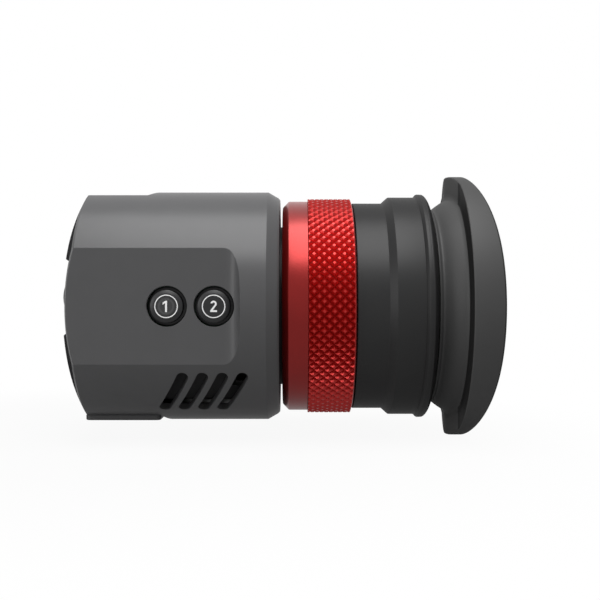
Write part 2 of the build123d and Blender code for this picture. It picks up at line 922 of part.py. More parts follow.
with BuildPart() as thermal_pad:
    with BuildSketch(station(chip_back)):
        with Locations((0, -chip_drop)):
            Rectangle(chip_side, chip_side)
    extrude(amount=pad_thickness)
thermal_pad.part.label = "thermal_pad"
export_step(thermal_pad.part, "parts/thermal_pad.step")

with BuildPart() as heat_sink:
    sink_height = sink_top - sink_bottom
    with BuildSketch(station(sink_front)):
        with Locations((0, (sink_top + sink_bottom) / 2)):
            Rectangle(sink_half_width * 2, sink_height)
    extrude(amount=sink_base)
    for fin_top, fin_end in ((sink_top, sink_fin_end), (sink_tail_top, sink_tail_end)):
        with BuildSketch(station(sink_back)):
            with Locations((0, (fin_top + sink_bottom) / 2)):
                with GridLocations((sink_half_width * 2 - sink_fin_thickness) / (sink_fins - 1), 0,
                                   sink_fins, 1):
                    Rectangle(sink_fin_thickness, fin_top - sink_bottom)
        extrude(amount=fin_end - sink_back)
    with BuildSketch(station(sink_front)):
        with Locations(*sink_post_places):
            Circle(sink_post_radius)
    extrude(amount=main_board_back - sink_front)
    cut_holes(facing_front(main_board_back), seen_from_front(sink_post_places),
              small_shank_radius + screw_gap, sink_back - main_board_back)
heat_sink.part.label = "heat_sink"
export_step(heat_sink.part, "parts/heat_sink.step")

sink_screws = screws(facing_front(main_board_front), seen_from_front(sink_post_places),
                     sink_back - main_board_front - seam_gap, small_head_height)
sink_screws.label = "sink_screws"
export_step(sink_screws, "parts/sink_screws.step")


# Socket board on the far side, with the picture and power sockets
with BuildPart() as socket_board:
    with BuildSketch(level(-board_thickness / 2)):
        with Locations(((main_board_back + side_board_end) / 2, inner_side - side_board_depth / 2)):
            Rectangle(side_board_end - main_board_back, side_board_depth - board_thickness)
    extrude(amount=board_thickness)
socket_board.part.label = "socket_board"
export_step(socket_board.part, "parts/socket_board.step")


def socket_plane(height):
    """The mouth plane of a socket on the far side, facing inward, at a height on the axis."""
    return Plane(
        origin=(hdmi_station, socket_face, axis_height + height), x_dir=(1, 0, 0), z_dir=(0, -1, 0)
    )


def hdmi_outline(inset):
    """The socket's section: a rectangle whose two lower corners are cut off."""
    half = hdmi_width / 2 - inset
    top = hdmi_height / 2 - inset
    with BuildSketch(socket_plane(hdmi_level)) as outline:
        with BuildLine():
            Polyline(
                (-half, top),
                (half, top),
                (half, hdmi_bevel - top),
                (half - hdmi_bevel, -top),
                (hdmi_bevel - half, -top),
                (-half, hdmi_bevel - top),
                close=True,
            )
        make_face()
    return outline.sketch


with BuildPart() as picture_socket:
    extrude(hdmi_outline(0), amount=hdmi_depth)
    extrude(hdmi_outline(hdmi_skin), amount=hdmi_depth - hdmi_skin, mode=Mode.SUBTRACT)
picture_socket.part.label = "picture_socket"
export_step(picture_socket.part, "parts/picture_socket.step")

with BuildPart() as picture_tongue:
    with BuildSketch(socket_plane(hdmi_level).offset(hdmi_depth - hdmi_skin)):
        Rectangle(hdmi_tongue_width, hdmi_tongue)
    extrude(amount=hdmi_tongue - hdmi_depth)
    extrude(hdmi_outline(hdmi_skin + screw_gap), amount=hdmi_depth - hdmi_skin)
    with BuildSketch(socket_plane(hdmi_level)):
        Rectangle(hdmi_width, hdmi_height)
        Rectangle(hdmi_tongue_width, hdmi_tongue, mode=Mode.SUBTRACT)
    extrude(amount=hdmi_depth - hdmi_skin - hdmi_depth * hdmi_block_share, mode=Mode.SUBTRACT)
    with BuildSketch(socket_plane(hdmi_level)):
        Rectangle(hdmi_width, hdmi_height)
    extrude(amount=hdmi_tongue, mode=Mode.SUBTRACT)
picture_tongue.part.label = "picture_tongue"
export_step(picture_tongue.part, "parts/picture_tongue.step")

with BuildPart() as power_socket:
    with BuildSketch(socket_plane(usb_level)):
        SlotOverall(usb_width, usb_height)
    extrude(amount=usb_depth)
    with BuildSketch(socket_plane(usb_level)):
        SlotOverall(usb_width - usb_skin * 2, usb_height - usb_skin * 2)
    extrude(amount=usb_depth - usb_skin, mode=Mode.SUBTRACT)
power_socket.part.label = "power_socket"
export_step(power_socket.part, "parts/power_socket.step")

with BuildPart() as power_tongue:
    with BuildSketch(socket_plane(usb_level).offset(usb_tongue)):
        Rectangle(usb_tongue_width, usb_tongue)
    extrude(amount=usb_depth - usb_skin - usb_tongue)
power_tongue.part.label = "power_tongue"
export_step(power_tongue.part, "parts/power_tongue.step")


# Display unit: carrier, protective glass, display panel, clamp and ribbon
with BuildPart() as display_carrier:
    with BuildSketch(station(carrier_front)):
        Circle(carrier_radius)
        with Locations(*carrier_post_places):
            Circle(carrier_post_radius)
    extrude(amount=flange_start - carrier_front)
    with BuildSketch(station(carrier_back)):
        Circle(carrier_radius - carrier_skin)
    extrude(amount=flange_start - carrier_back, mode=Mode.SUBTRACT)
    with BuildSketch(station(carrier_front)):
        Rectangle(window_width, window_height)
    extrude(amount=carrier_plate, mode=Mode.SUBTRACT)
    with BuildSketch(station(carrier_back)):
        Rectangle(glass_width + seam_gap * 2, glass_height + seam_gap * 2)
    extrude(amount=-glass_thickness, mode=Mode.SUBTRACT)
    cut_holes(station(flange_start), carrier_post_places, small_shank_radius + screw_gap,
              flange_start - carrier_front)
    cut_holes(station(carrier_back), standoff_places + clamp_ears,
              small_shank_radius + screw_gap, carrier_plate)
display_carrier.part.label = "display_carrier"
export_step(display_carrier.part, "parts/display_carrier.step")

carrier_screws = screws(facing_front(carrier_front), seen_from_front(carrier_post_places),
                        cavity_end - carrier_front - seam_gap, small_head_height)
carrier_screws.label = "carrier_screws"
export_step(carrier_screws, "parts/carrier_screws.step")

with BuildPart() as display_glass:
    with BuildSketch(station(carrier_back)):
        Rectangle(glass_width, glass_height)
    extrude(amount=-glass_thickness)
display_glass.part.label = "display_glass"
export_step(display_glass.part, "parts/display_glass.step")

with BuildPart() as display_panel:
    with BuildSketch(station(panel_front)):
        Rectangle(panel_width, panel_height)
    extrude(amount=panel_thickness)
display_panel.part.label = "display_panel"
export_step(display_panel.part, "parts/display_panel.step")

with BuildPart() as panel_clamp:
    with BuildSketch(station(clamp_front)):
        Rectangle(clamp_width, clamp_height)
    extrude(amount=carrier_front - clamp_front)
    with BuildSketch(station(carrier_front)):
        SlotCenterToCenter(clamp_ear_reach * 2, clamp_ear_radius * 2)
    extrude(amount=-clamp_ear_thickness)
    with BuildSketch(station(panel_front)):
        Rectangle(panel_width + seam_gap * 2, panel_height + seam_gap * 2)
        with Locations((0, clamp_height / 2)):
            Rectangle(flex_width + seam_gap * 2, clamp_height)
    extrude(amount=panel_thickness, mode=Mode.SUBTRACT)
    cut_holes(station(carrier_front), clamp_ears, small_shank_radius + screw_gap,
              clamp_ear_thickness)
panel_clamp.part.label = "panel_clamp"
export_step(panel_clamp.part, "parts/panel_clamp.step")

clamp_screws = screws(facing_front(carrier_front - clamp_ear_thickness), clamp_ears,
                      clamp_screw_grip, small_head_height)
clamp_screws.label = "clamp_screws"
export_step(clamp_screws, "parts/clamp_screws.step")

flex_station = panel_front + panel_thickness / 2
flex_root = panel_height / 2
with BuildPart() as display_flex:
    with BuildSketch(axial_plane):
        with BuildLine():
            flex_path = FilletPolyline(
                (flex_station, flex_root + flex_thickness / 2),
                (flex_station, flex_height),
                (main_board_back + flex_plug_depth + flex_thickness / 2, flex_height),
                radius=flex_bend,
            )
            offset(flex_path, amount=flex_thickness / 2, kind=Kind.TANGENT)
        make_face()
    extrude(amount=flex_width / 2, both=True)
display_flex.part.label = "display_flex"
export_step(display_flex.part, "parts/display_flex.step")

with BuildPart() as flex_plug:
    with BuildSketch(station(main_board_back)):
        with Locations((0, flex_height)):
            Rectangle(flex_plug_width, flex_plug_height)
    extrude(amount=flex_plug_depth)
flex_plug.part.label = "flex_plug"
export_step(flex_plug.part, "parts/flex_plug.step")

with BuildPart() as standoffs:
    with BuildSketch(station(main_board_back)):
        with Locations(*standoff_places):
            RegularPolygon(standoff_radius, hex_sides)
            Circle(small_shank_radius + screw_gap, mode=Mode.SUBTRACT)
    extrude(amount=carrier_front - main_board_back)
standoffs.part.label = "standoffs"
export_step(standoffs.part, "parts/standoffs.step")

board_screws = screws(facing_front(main_board_front), seen_from_front(standoff_places),
                      main_board_thickness + board_screw_grip, small_head_height)
board_screws.label = "board_screws"
export_step(board_screws, "parts/board_screws.step")


# Fixed eyepiece tube: flange, ring collar, straight slots and seal groove
with BuildPart() as eyepiece_tube:
    with BuildSketch(axial_plane):
        with BuildLine():
            Polyline(
                (flange_start, tube_bore),
                (flange_start, flange_radius),
                (cavity_end, flange_radius),
                (cavity_end, tube_radius),
                (collar_start, tube_radius),
                (collar_start, collar_radius),
                (collar_end, collar_radius),
                (collar_end, tube_radius),
                (seal_station - seal_groove / 2, tube_radius),
                (seal_station - seal_groove / 2, tube_radius - seal_groove),
                (seal_station + seal_groove / 2, tube_radius - seal_groove),
                (seal_station + seal_groove / 2, tube_radius),
                (tube_end, tube_radius),
                (tube_end, tube_bore),
                close=True,
            )
        make_face()
    revolve(axis=optical_axis)
    cut_holes(station(cavity_end), carrier_post_places + flange_screw_places,
              small_shank_radius + screw_gap, flange_thickness)
    slot_width = (pin_radius + fit_gap) * 2
    for place in range(pin_count):
        angle = pin_phase + full_turn * place / pin_count
        slot_plane = Plane(
            origin=(0, 0, axis_height),
            x_dir=(1, 0, 0),
            z_dir=(0, math.cos(math.radians(angle)), math.sin(math.radians(angle))),
        )
        with BuildSketch(slot_plane.offset(tube_bore - seal_groove)):
            with Locations(((slot_start + slot_end) / 2, 0)):
                SlotOverall(slot_end - slot_start, slot_width)
        extrude(amount=collar_radius - tube_bore + seal_groove, mode=Mode.SUBTRACT)
eyepiece_tube.part.label = "eyepiece_tube"
export_step(eyepiece_tube.part, "parts/eyepiece_tube.step")

tube_screws = screws(facing_front(flange_start), seen_from_front(flange_screw_places),
                     flange_thickness + flange_screw_grip, small_head_height)
tube_screws.label = "tube_screws"
export_step(tube_screws, "parts/tube_screws.step")

with BuildPart() as ring_seal:
    with BuildSketch(axial_plane):
        with Locations((seal_station, tube_radius + fit_gap - seal_radius)):
            Circle(seal_radius)
    revolve(axis=optical_axis)
ring_seal.part.label = "ring_seal"
export_step(ring_seal.part, "parts/ring_seal.step")

with BuildPart() as ring_retainer:
    revolve(band(retainer_start, retainer_end, tube_radius + screw_gap, retainer_radius),
            axis=optical_axis)
ring_retainer.part.label = "ring_retainer"
export_step(ring_retainer.part, "parts/ring_retainer.step")


# Focus ring: smooth band, grip band, helical grooves for the pins and a rear skirt
ring_bore = tube_radius + seam_gap
groove_radius = pin_outer + groove_depth_gap
groove_width = (pin_radius + groove_play) * 2
groove_middle = (ring_bore + groove_radius) / 2
groove_overrun = focus_lead * groove_width / (math.tau * groove_middle)
with BuildPart() as groove_cutter:
    with BuildLine() as groove_path:
        Helix(
            pitch=focus_lead,
            height=focus_travel + groove_overrun * 2,
            radius=groove_middle,
            center=(pin_station - groove_overrun, 0, axis_height),
            direction=(1, 0, 0),
            lefthand=True,
        )
    groove_start = groove_path.line @ 0
    groove_out = (groove_start - Vector(groove_start.X, 0, axis_height)).normalized()
    groove_end_plane = Plane(origin=groove_start, x_dir=groove_out, z_dir=groove_path.line % 0)
    with BuildSketch(groove_end_plane) as groove_end:
        Rectangle(groove_radius - ring_bore + groove_margin, groove_width)
    sweep(groove_end.sketch, path=groove_path.line, is_frenet=True)


# Knurled band of the ring: crossing grooves leave rows of pointed diamonds
knurl_end = ring_knurl_start + knurl_rows * knurl_pitch / 2
knurl_core = ring_knurl_radius - knurl_depth - knurl_root


def knurl_corner(row, column):
    """A corner of the band, counted along the axis and round it, high on odd sums."""
    radius = ring_knurl_radius - knurl_depth * (1 - (row + column) % 2)
    angle = math.pi * column / knurl_count
    return (ring_knurl_start + row * knurl_pitch / 2, radius * math.sin(angle),
            axis_height + radius * math.cos(angle))


def flat_face(*corners):
    """One flat face through its corners."""
    return Face(Wire.make_polygon(corners, close=True))


def knurl_cell(row, column):
    """Two facets between four neighbouring corners, split along the bottom of the groove."""
    near, ahead = knurl_corner(row, column), knurl_corner(row + 1, column)
    beside, across = knurl_corner(row, column + 1), knurl_corner(row + 1, column + 1)
    if (row + column) % 2 == 0:
        return [flat_face(near, ahead, across), flat_face(near, across, beside)]
    return [flat_face(near, ahead, beside), flat_face(ahead, across, beside)]


def knurl_end_face(row, bore_wire):
    """The flat end of the band, from the bore's wire out to the corners of one row."""
    corners = [knurl_corner(row, column) for column in range(knurl_count * 2)]
    return Face(Wire.make_polygon(corners, close=True), [bore_wire])


with BuildPart() as knurl_bore:
    with BuildSketch(station(ring_knurl_start)):
        RegularPolygon(knurl_core - knurl_root, knurl_bore_sides)
    extrude(amount=knurl_end - ring_knurl_start)

with BuildPart() as knurl_band:
    bore_ends = knurl_bore.faces().filter_by(Axis.X).sort_by(Axis.X)
    shell_faces = list(knurl_bore.faces().filter_by(Axis.X, reverse=True))
    for row in range(knurl_rows):
        for column in range(knurl_count * 2):
            shell_faces += knurl_cell(row, column)
    shell_faces.append(knurl_end_face(0, bore_ends[0].outer_wire()))
    shell_faces.append(knurl_end_face(knurl_rows, bore_ends[-1].outer_wire()))
    add(Solid(Shell(shell_faces)))

with BuildPart() as focus_ring:
    step_start = collar_end + ring_play
    rear_pocket = retainer_start - ring_play
    pocket_radius = retainer_radius + retainer_bore_play
    skirt_bore = skirt_radius - skirt_thickness
    with BuildSketch(axial_plane):
        with BuildLine():
            Polyline(
                (ring_front, collar_radius + ring_play),
                (step_start, collar_radius + ring_play),
                (step_start, ring_bore),
                (rear_pocket, ring_bore),
                (rear_pocket, pocket_radius),
                (ring_rear, pocket_radius),
                (ring_rear, skirt_bore),
                (skirt_end, skirt_bore),
                (skirt_end, skirt_radius),
                (ring_rear, skirt_radius),
                (ring_rear, ring_knurl_radius - knurl_depth - ring_rear_chamfer),
                (knurl_end, ring_knurl_radius - knurl_depth - seam_gap),
                (knurl_end, knurl_core),
                (ring_knurl_start, knurl_core),
                (ring_smooth_end, ring_smooth_radius),
                (ring_front + ring_front_chamfer, ring_smooth_radius),
                (ring_front, ring_smooth_radius - ring_front_chamfer),
                close=True,
            )
        make_face()
    revolve(axis=optical_axis)
    for place in range(pin_count):
        turn = full_turn * place / pin_count + full_turn * groove_overrun / focus_lead
        add(groove_cutter.part.rotate(optical_axis, turn), mode=Mode.SUBTRACT)
    add(knurl_band.part)
focus_ring.part.label = "focus_ring"
export_step(focus_ring.part, "parts/focus_ring.step")


# Eyepiece barrel: outer sleeve, web and inner lens cell, with its three follower pins
with BuildPart() as eyepiece_barrel:
    with BuildSketch(axial_plane):
        with BuildLine():
            Polyline(
                (cell_front, cell_lip),
                (cell_front + cell_lip_length, cell_lip),
                (cell_front + cell_lip_length, cell_bore),
                (eye_seat, cell_bore),
                (eye_seat, eye_bore),
                (bezel_bore_start, eye_bore),
                (bezel_bore_start, bezel_bore),
                (sleeve_end, bezel_bore),
                (sleeve_end, sleeve_rear_radius),
                (sleeve_step_end, sleeve_rear_radius),
                (sleeve_step_start, sleeve_radius),
                (sleeve_start, sleeve_radius),
                (sleeve_start, sleeve_bore),
                (web_front, sleeve_bore),
                (web_front, cell_radius),
                (cell_front, cell_radius),
                close=True,
            )
        make_face()
    revolve(axis=optical_axis)
    for place in range(pin_count):
        angle = math.radians(pin_phase + full_turn * place / pin_count)
        pin_plane = Plane(
            origin=(pin_station, 0, axis_height),
            x_dir=(1, 0, 0),
            z_dir=(0, math.cos(angle), math.sin(angle)),
        )
        with BuildSketch(pin_plane):
            Circle(pin_radius + screw_gap / 2)
        extrude(amount=pin_outer, mode=Mode.SUBTRACT)
eyepiece_barrel.part.label = "eyepiece_barrel"
export_step(eyepiece_barrel.part, "parts/eyepiece_barrel.step")

with BuildPart() as follower_pins:
    for place in range(pin_count):
        angle = math.radians(pin_phase + full_turn * place / pin_count)
        pin_plane = Plane(
            origin=(pin_station, 0, axis_height),
            x_dir=(1, 0, 0),
            z_dir=(0, math.cos(angle), math.sin(angle)),
        )
        with BuildSketch(pin_plane.offset(pin_inner)):
            Circle(pin_radius)
        extrude(amount=pin_outer - pin_inner)
follower_pins.part.label = "follower_pins"
export_step(follower_pins.part, "parts/follower_pins.step")


# Lenses, spacer and inner retainer
def sag(curve, radius):
    """How far a spherical face of this curve rises between its edge and its middle."""
    return curve - math.sqrt(curve**2 - radius**2)


with BuildPart() as field_lens:
    with BuildSketch(axial_plane):
        with BuildLine():
            rear_edge = lens_seat + lens_edge
            field_apex = rear_edge + sag(field_curve, lens_clear)
            Polyline((field_apex, 0), (lens_seat, 0), (lens_seat, lens_radius),
                     (rear_edge, lens_radius), (rear_edge, lens_clear))
            RadiusArc((rear_edge, lens_clear), (field_apex, 0), field_curve)
        make_face()
    revolve(axis=optical_axis)
field_lens.part.label = "field_lens"
export_step(field_lens.part, "parts/field_lens.step")

with BuildPart() as lens_spacer:
    revolve(band(lens_seat + lens_edge, crown_seat, spacer_inner, lens_radius), axis=optical_axis)
lens_spacer.part.label = "lens_spacer"
export_step(lens_spacer.part, "parts/lens_spacer.step")

with BuildPart() as crown_lens:
    with BuildSketch(axial_plane):
        with BuildLine():
            crown_apex = crown_seat - sag(crown_front_curve, lens_clear)
            crown_rear = flint_seat + sag(crown_rear_curve, lens_radius)
            RadiusArc((crown_apex, 0), (crown_seat, lens_clear), crown_front_curve)
            Polyline((crown_seat, lens_clear), (crown_seat, lens_radius), (flint_seat, lens_radius))
            RadiusArc((flint_seat, lens_radius), (crown_rear, 0), crown_rear_curve)
            Line((crown_rear, 0), (crown_apex, 0))
        make_face()
    revolve(axis=optical_axis)
crown_lens.part.label = "crown_lens"
export_step(crown_lens.part, "parts/crown_lens.step")

with BuildPart() as flint_lens:
    with BuildSketch(axial_plane):
        with BuildLine():
            flint_front = flint_seat + cement_gap
            flint_hollow = crown_rear + cement_gap
            flint_apex = inner_retainer_seat + sag(flint_rear_curve, lens_clear)
            RadiusArc((flint_hollow, 0), (flint_front, lens_radius), -crown_rear_curve)
            Polyline((flint_front, lens_radius), (inner_retainer_seat, lens_radius),
                     (inner_retainer_seat, lens_clear))
            RadiusArc((inner_retainer_seat, lens_clear), (flint_apex, 0), flint_rear_curve)
            Line((flint_apex, 0), (flint_hollow, 0))
        make_face()
    revolve(axis=optical_axis)
flint_lens.part.label = "flint_lens"
export_step(flint_lens.part, "parts/flint_lens.step")

with BuildPart() as lens_retainer:
    revolve(band(inner_retainer_seat, inner_retainer_seat + retainer_length, spacer_inner,
                 lens_radius), axis=optical_axis)
lens_retainer.part.label = "lens_retainer"
export_step(lens_retainer.part, "parts/lens_retainer.step")

with BuildPart() as eye_lens:
    with BuildSketch(axial_plane):
        with BuildLine():
            eye_edge = eye_seat + eye_lens_edge
            eye_apex = eye_edge + sag(eye_lens_curve, eye_clear)
            Polyline((eye_apex, 0), (eye_seat, 0), (eye_seat, eye_lens_radius),
                     (eye_edge, eye_lens_radius), (eye_edge, eye_clear))
            RadiusArc((eye_edge, eye_clear), (eye_apex, 0), eye_lens_curve)
        make_face()
    revolve(axis=optical_axis)
eye_lens.part.label = "eye_lens"
export_step(eye_lens.part, "parts/eye_lens.step")


# Bezel: it clamps the eye lens, shows as the rounded ridge and carries the eyecup's bead
with BuildPart() as eyepiece_bezel:
    bezel_front = sleeve_end + bezel_front_gap
    lens_clamp = eye_edge + fit_gap
    with BuildSketch(axial_plane):
        with BuildLine():
            ridge_arc = TangentArc((ridge_flat_end, ridge_radius), (ridge_end, ridge_root_radius),
                                   tangent=(1, 0))
            Polyline(
                ridge_arc @ 1,
                (ridge_end, stub_radius),
                (bead_start, stub_radius),
                (bead_start, bead_radius),
                (stub_end, bead_radius),
                (stub_end, aperture_rear_radius),
                (bezel_front, aperture_radius),
                (lens_clamp, aperture_radius),
                (lens_clamp, bezel_bore - fit_gap),
                (bezel_front, bezel_bore - fit_gap),
                (bezel_front, sleeve_rear_radius),
                (ridge_rise_end, ridge_radius),
                ridge_arc @ 0,
            )
        make_face()
    revolve(axis=optical_axis)
eyepiece_bezel.part.label = "eyepiece_bezel"
export_step(eyepiece_bezel.part, "parts/eyepiece_bezel.step")


# Rubber eyecup: flared neck, two lugs, and a round lip whose rim is higher at the sides
def rim_station(share):
    """The rim's station at a share of the lip radius to either side of the middle."""
    return rim_top + (rim_side - rim_top) * share**2 * (1 + rim_swell_share * (1 - share**2))


rim_shares = [point * 2 / (rim_points - 1) - 1 for point in range(rim_points)]
with BuildPart() as lugs:
    with BuildSketch(level(0)):
        with BuildLine():
            Polyline((lip_front + lug_root, -lug_half_width), (lip_front, -lug_half_width),
                     (lug_front, 0), (lip_front, lug_half_width),
                     (lip_front + lug_root, lug_half_width), close=True)
        make_face()
    extrude(amount=lip_radius, both=True)
    with BuildSketch(station(lug_front - overrun)):
        Circle(lug_radius)
        Rectangle(lug_radius * 2, lug_chord * 2, mode=Mode.SUBTRACT)
    extrude(amount=overrun * 2, mode=Mode.INTERSECT)

with BuildPart() as eyecup:
    cup_bore = stub_radius + fit_gap
    cup_groove = bead_radius + fit_gap
    groove_front = bead_start - seam_gap
    groove_rear = stub_end + seam_gap
    with BuildSketch(axial_plane):
        with BuildLine():
            Polyline(
                (bowl_knee, bowl_radius),
                (rim_side + overrun, bowl_radius),
                (rim_side + overrun, lip_radius),
                (lip_front, lip_radius),
                (lip_front, cup_neck_rear_radius),
                (cup_start, cup_neck_radius),
                (cup_start, cup_bore),
                (groove_front, cup_bore),
                (groove_front, cup_groove),
                (groove_rear, cup_groove),
                (groove_rear, bowl_mouth_radius),
                (bowl_mouth, bowl_mouth_radius),
                (bowl_floor, bowl_floor_radius),
            )
            TangentArc((bowl_knee, bowl_radius), (bowl_floor, bowl_floor_radius), tangent=(-1, 0))
        make_face()
    revolve(axis=optical_axis)
    add(lugs.part)
    with BuildSketch(level(0)):
        with BuildLine():
            rim_curve = Spline(*[(rim_station(s), s * lip_radius) for s in rim_shares])
            Polyline(
                rim_curve @ 1,
                (rim_side, lip_radius + overrun),
                (rim_side + overrun * 2, lip_radius + overrun),
                (rim_side + overrun * 2, -lip_radius - overrun),
                (rim_side, -lip_radius - overrun),
                rim_curve @ 0,
            )
        make_face()
    extrude(amount=lip_radius + overrun, both=True, mode=Mode.SUBTRACT)
    rim_faces = eyecup.faces().filter_by(GeomType.EXTRUSION)
    rim_edges = [
        edge
        for edge in rim_faces.edges()
        if math.hypot((edge @ 0).Y, (edge @ 0).Z - axis_height) > lip_radius - fit_gap
        and math.hypot((edge @ 1).Y, (edge @ 1).Z - axis_height) > lip_radius - fit_gap
    ]
    fillet(rim_edges, rim_round)
eyecup.part.label = "eyecup"
export_step(eyecup.part, "parts/eyecup.step")
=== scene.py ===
# %% [markdown]
# # An electronic viewfinder
#
# This lesson dresses the solid model of an electronic viewfinder. The solids come from a CAD
# part and stay where they are. Where a piece shows closely, a finer surface stands in for it,
# worked out here from the same sizes.

# %% Load the solid model
import math

import bmesh
import bpy
import numpy as np
from mathutils import Matrix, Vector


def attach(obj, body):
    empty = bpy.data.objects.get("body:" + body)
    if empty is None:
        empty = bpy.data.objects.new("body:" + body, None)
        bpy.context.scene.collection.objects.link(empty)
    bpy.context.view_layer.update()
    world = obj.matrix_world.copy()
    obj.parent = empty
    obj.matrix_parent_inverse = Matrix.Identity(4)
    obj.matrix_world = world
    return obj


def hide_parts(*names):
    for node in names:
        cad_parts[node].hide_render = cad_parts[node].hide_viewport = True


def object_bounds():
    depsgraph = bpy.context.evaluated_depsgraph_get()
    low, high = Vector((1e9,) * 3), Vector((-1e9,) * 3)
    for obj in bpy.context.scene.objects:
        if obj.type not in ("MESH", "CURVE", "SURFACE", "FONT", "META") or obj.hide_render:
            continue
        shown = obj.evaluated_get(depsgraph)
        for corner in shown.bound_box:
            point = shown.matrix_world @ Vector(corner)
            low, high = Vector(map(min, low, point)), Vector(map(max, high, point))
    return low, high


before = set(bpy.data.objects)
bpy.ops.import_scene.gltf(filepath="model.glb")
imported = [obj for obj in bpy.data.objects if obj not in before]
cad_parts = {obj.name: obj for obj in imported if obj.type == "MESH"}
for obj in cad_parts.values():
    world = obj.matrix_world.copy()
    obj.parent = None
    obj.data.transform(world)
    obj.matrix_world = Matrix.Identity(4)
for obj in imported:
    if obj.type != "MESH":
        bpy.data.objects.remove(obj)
cad_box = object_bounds()
print("nodes loaded:", len(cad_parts))

# %% [markdown]
# ## Sizes
#
# The solids are in metres, but a maker of this object thinks in millimetres. So every surface
# below is worked out in millimetres and scaled once, when it becomes a mesh. The optical axis
# runs along X at a height of 29.7 mm, and each turned piece turns round it.

# %% Shared sizes
MM = 0.001
AXIS = 29.7
FULL = 2 * math.pi

# %% [markdown]
# ## From numbers to a mesh
#
# Every new piece is a grid of points. The grid may touch itself at seams and poles, so doubled
# points are merged afterwards, which closes the surface. A closed surface with its faces turned
# outward has a positive volume, and the sign of the volume tells whether to turn them round.

# %% Grid to mesh
def closed_grid(name, points, crease=35.0, flip=None):
    """A mesh from points[row, column] in millimetres. Each face joins four neighbours, split
    along the diagonal that flip picks. Its faces point outward, and edges over crease stay hard."""
    rows, columns = points.shape[:2]
    index = np.arange(rows * columns).reshape(rows, columns)
    a, b, c, d = index[:-1, :-1], index[1:, :-1], index[1:, 1:], index[:-1, 1:]
    if flip is None:
        flip = np.zeros(a.shape, bool)
    first = np.where(flip[..., None], np.stack([a, b, d], -1), np.stack([a, b, c], -1))
    second = np.where(flip[..., None], np.stack([b, c, d], -1), np.stack([a, c, d], -1))
    triangles = np.concatenate([first.reshape(-1, 3), second.reshape(-1, 3)])
    place = points.reshape(-1, 3)
    p, q, r = (place[triangles[:, k]] for k in range(3))
    if np.einsum("ij,ij->i", p, np.cross(q, r)).sum() < 0:
        triangles = triangles[:, ::-1]
    mesh = bpy.data.meshes.new(name)
    mesh.vertices.add(len(place))
    mesh.vertices.foreach_set("co", (place * MM).astype(np.float32).ravel())
    mesh.loops.add(triangles.size)
    mesh.loops.foreach_set("vertex_index", triangles.astype(np.int32).ravel())
    mesh.polygons.add(len(triangles))
    mesh.polygons.foreach_set("loop_start", np.arange(0, triangles.size, 3, dtype=np.int32))
    mesh.update(calc_edges=True)
    weld = bmesh.new()
    weld.from_mesh(mesh)
    bmesh.ops.remove_doubles(weld, verts=weld.verts, dist=0.002 * MM)
    bmesh.ops.dissolve_degenerate(weld, edges=weld.edges, dist=0.0005 * MM)
    weld.to_mesh(mesh)
    weld.free()
    mesh.polygons.foreach_set("use_smooth", np.ones(len(mesh.polygons), bool))
    mesh.set_sharp_from_angle(angle=math.radians(crease))
    piece = bpy.data.objects.new(name, mesh)
    bpy.context.scene.collection.objects.link(piece)
    print(name, "faces:", len(mesh.polygons))
    return piece


# %% [markdown]
# ## Softened corners
#
# A lathe leaves sharp corners, and the maker breaks each one with a small radius. That thin
# rounded edge catches the light as a bright line, so it matters more than its size suggests.
# Here every corner of a half section is cut back and replaced by a short curve.

# %% Soften a half section
def soften(corners, cuts, steps=5):
    """The closed outline with its corners P replaced by (1-s)^2 A + 2s(1-s) P + s^2 B, where A
    and B lie on the two edges at the cut's distance, at most 0.45 of the edge."""
    corners = np.asarray(corners, float)
    cuts = np.broadcast_to(np.asarray(cuts, float), len(corners))
    before, after = np.roll(corners, 1, 0) - corners, np.roll(corners, -1, 0) - corners
    before_length = np.linalg.norm(before, axis=1)
    after_length = np.linalg.norm(after, axis=1)
    a = corners + before * np.minimum(cuts / before_length, 0.45)[:, None]
    b = corners + after * np.minimum(cuts / after_length, 0.45)[:, None]
    s = np.linspace(0, 1, steps)[None, :, None]
    curve = (1 - s) ** 2 * a[:, None] + 2 * s * (1 - s) * corners[:, None] + s**2 * b[:, None]
    outline = curve.reshape(-1, 2)
    return np.vstack([outline, outline[:1]])


# %% Turn a half section round the optical axis
def turned(name, outline, spokes=256):
    """Point (x, r) of the outline becomes (x, r sin t, AXIS + r cos t) for t all the way round."""
    t = np.linspace(0, FULL, spokes + 1)
    x, r = outline[:, 0, None], outline[:, 1, None]
    return closed_grid(name, np.stack([x + 0 * t, r * np.sin(t), AXIS + r * np.cos(t)], -1))


# %% [markdown]
# ## Shader maths that reads like maths
#
# A material in Blender is a net of nodes. One small class wraps a socket and lets Python's own
# operators add the Math nodes. Any other node comes from one method that first sets the node
# and then fills its sockets.

# %% Sockets with operators
class Flow:
    """A number or vector on its way through a material's nodes."""

    def __init__(self, finish, socket):
        self.finish = finish
        self.socket = socket

    def maths(self, operation, *others):
        sockets = dict(enumerate((self, *others)))
        return self.finish.node("ShaderNodeMath", {"operation": operation}, sockets)

    def __add__(self, other):
        return self.maths("ADD", other)

    def __sub__(self, other):
        return self.maths("SUBTRACT", other)

    def __rsub__(self, other):
        return self.finish.node("ShaderNodeMath", {"operation": "SUBTRACT"}, {0: other, 1: self})

    def __mul__(self, other):
        return self.maths("MULTIPLY", other)

    def __pow__(self, other):
        return self.maths("POWER", other)

    def __gt__(self, other):
        return self.maths("GREATER_THAN", other)

    def __lt__(self, other):
        return self.maths("LESS_THAN", other)


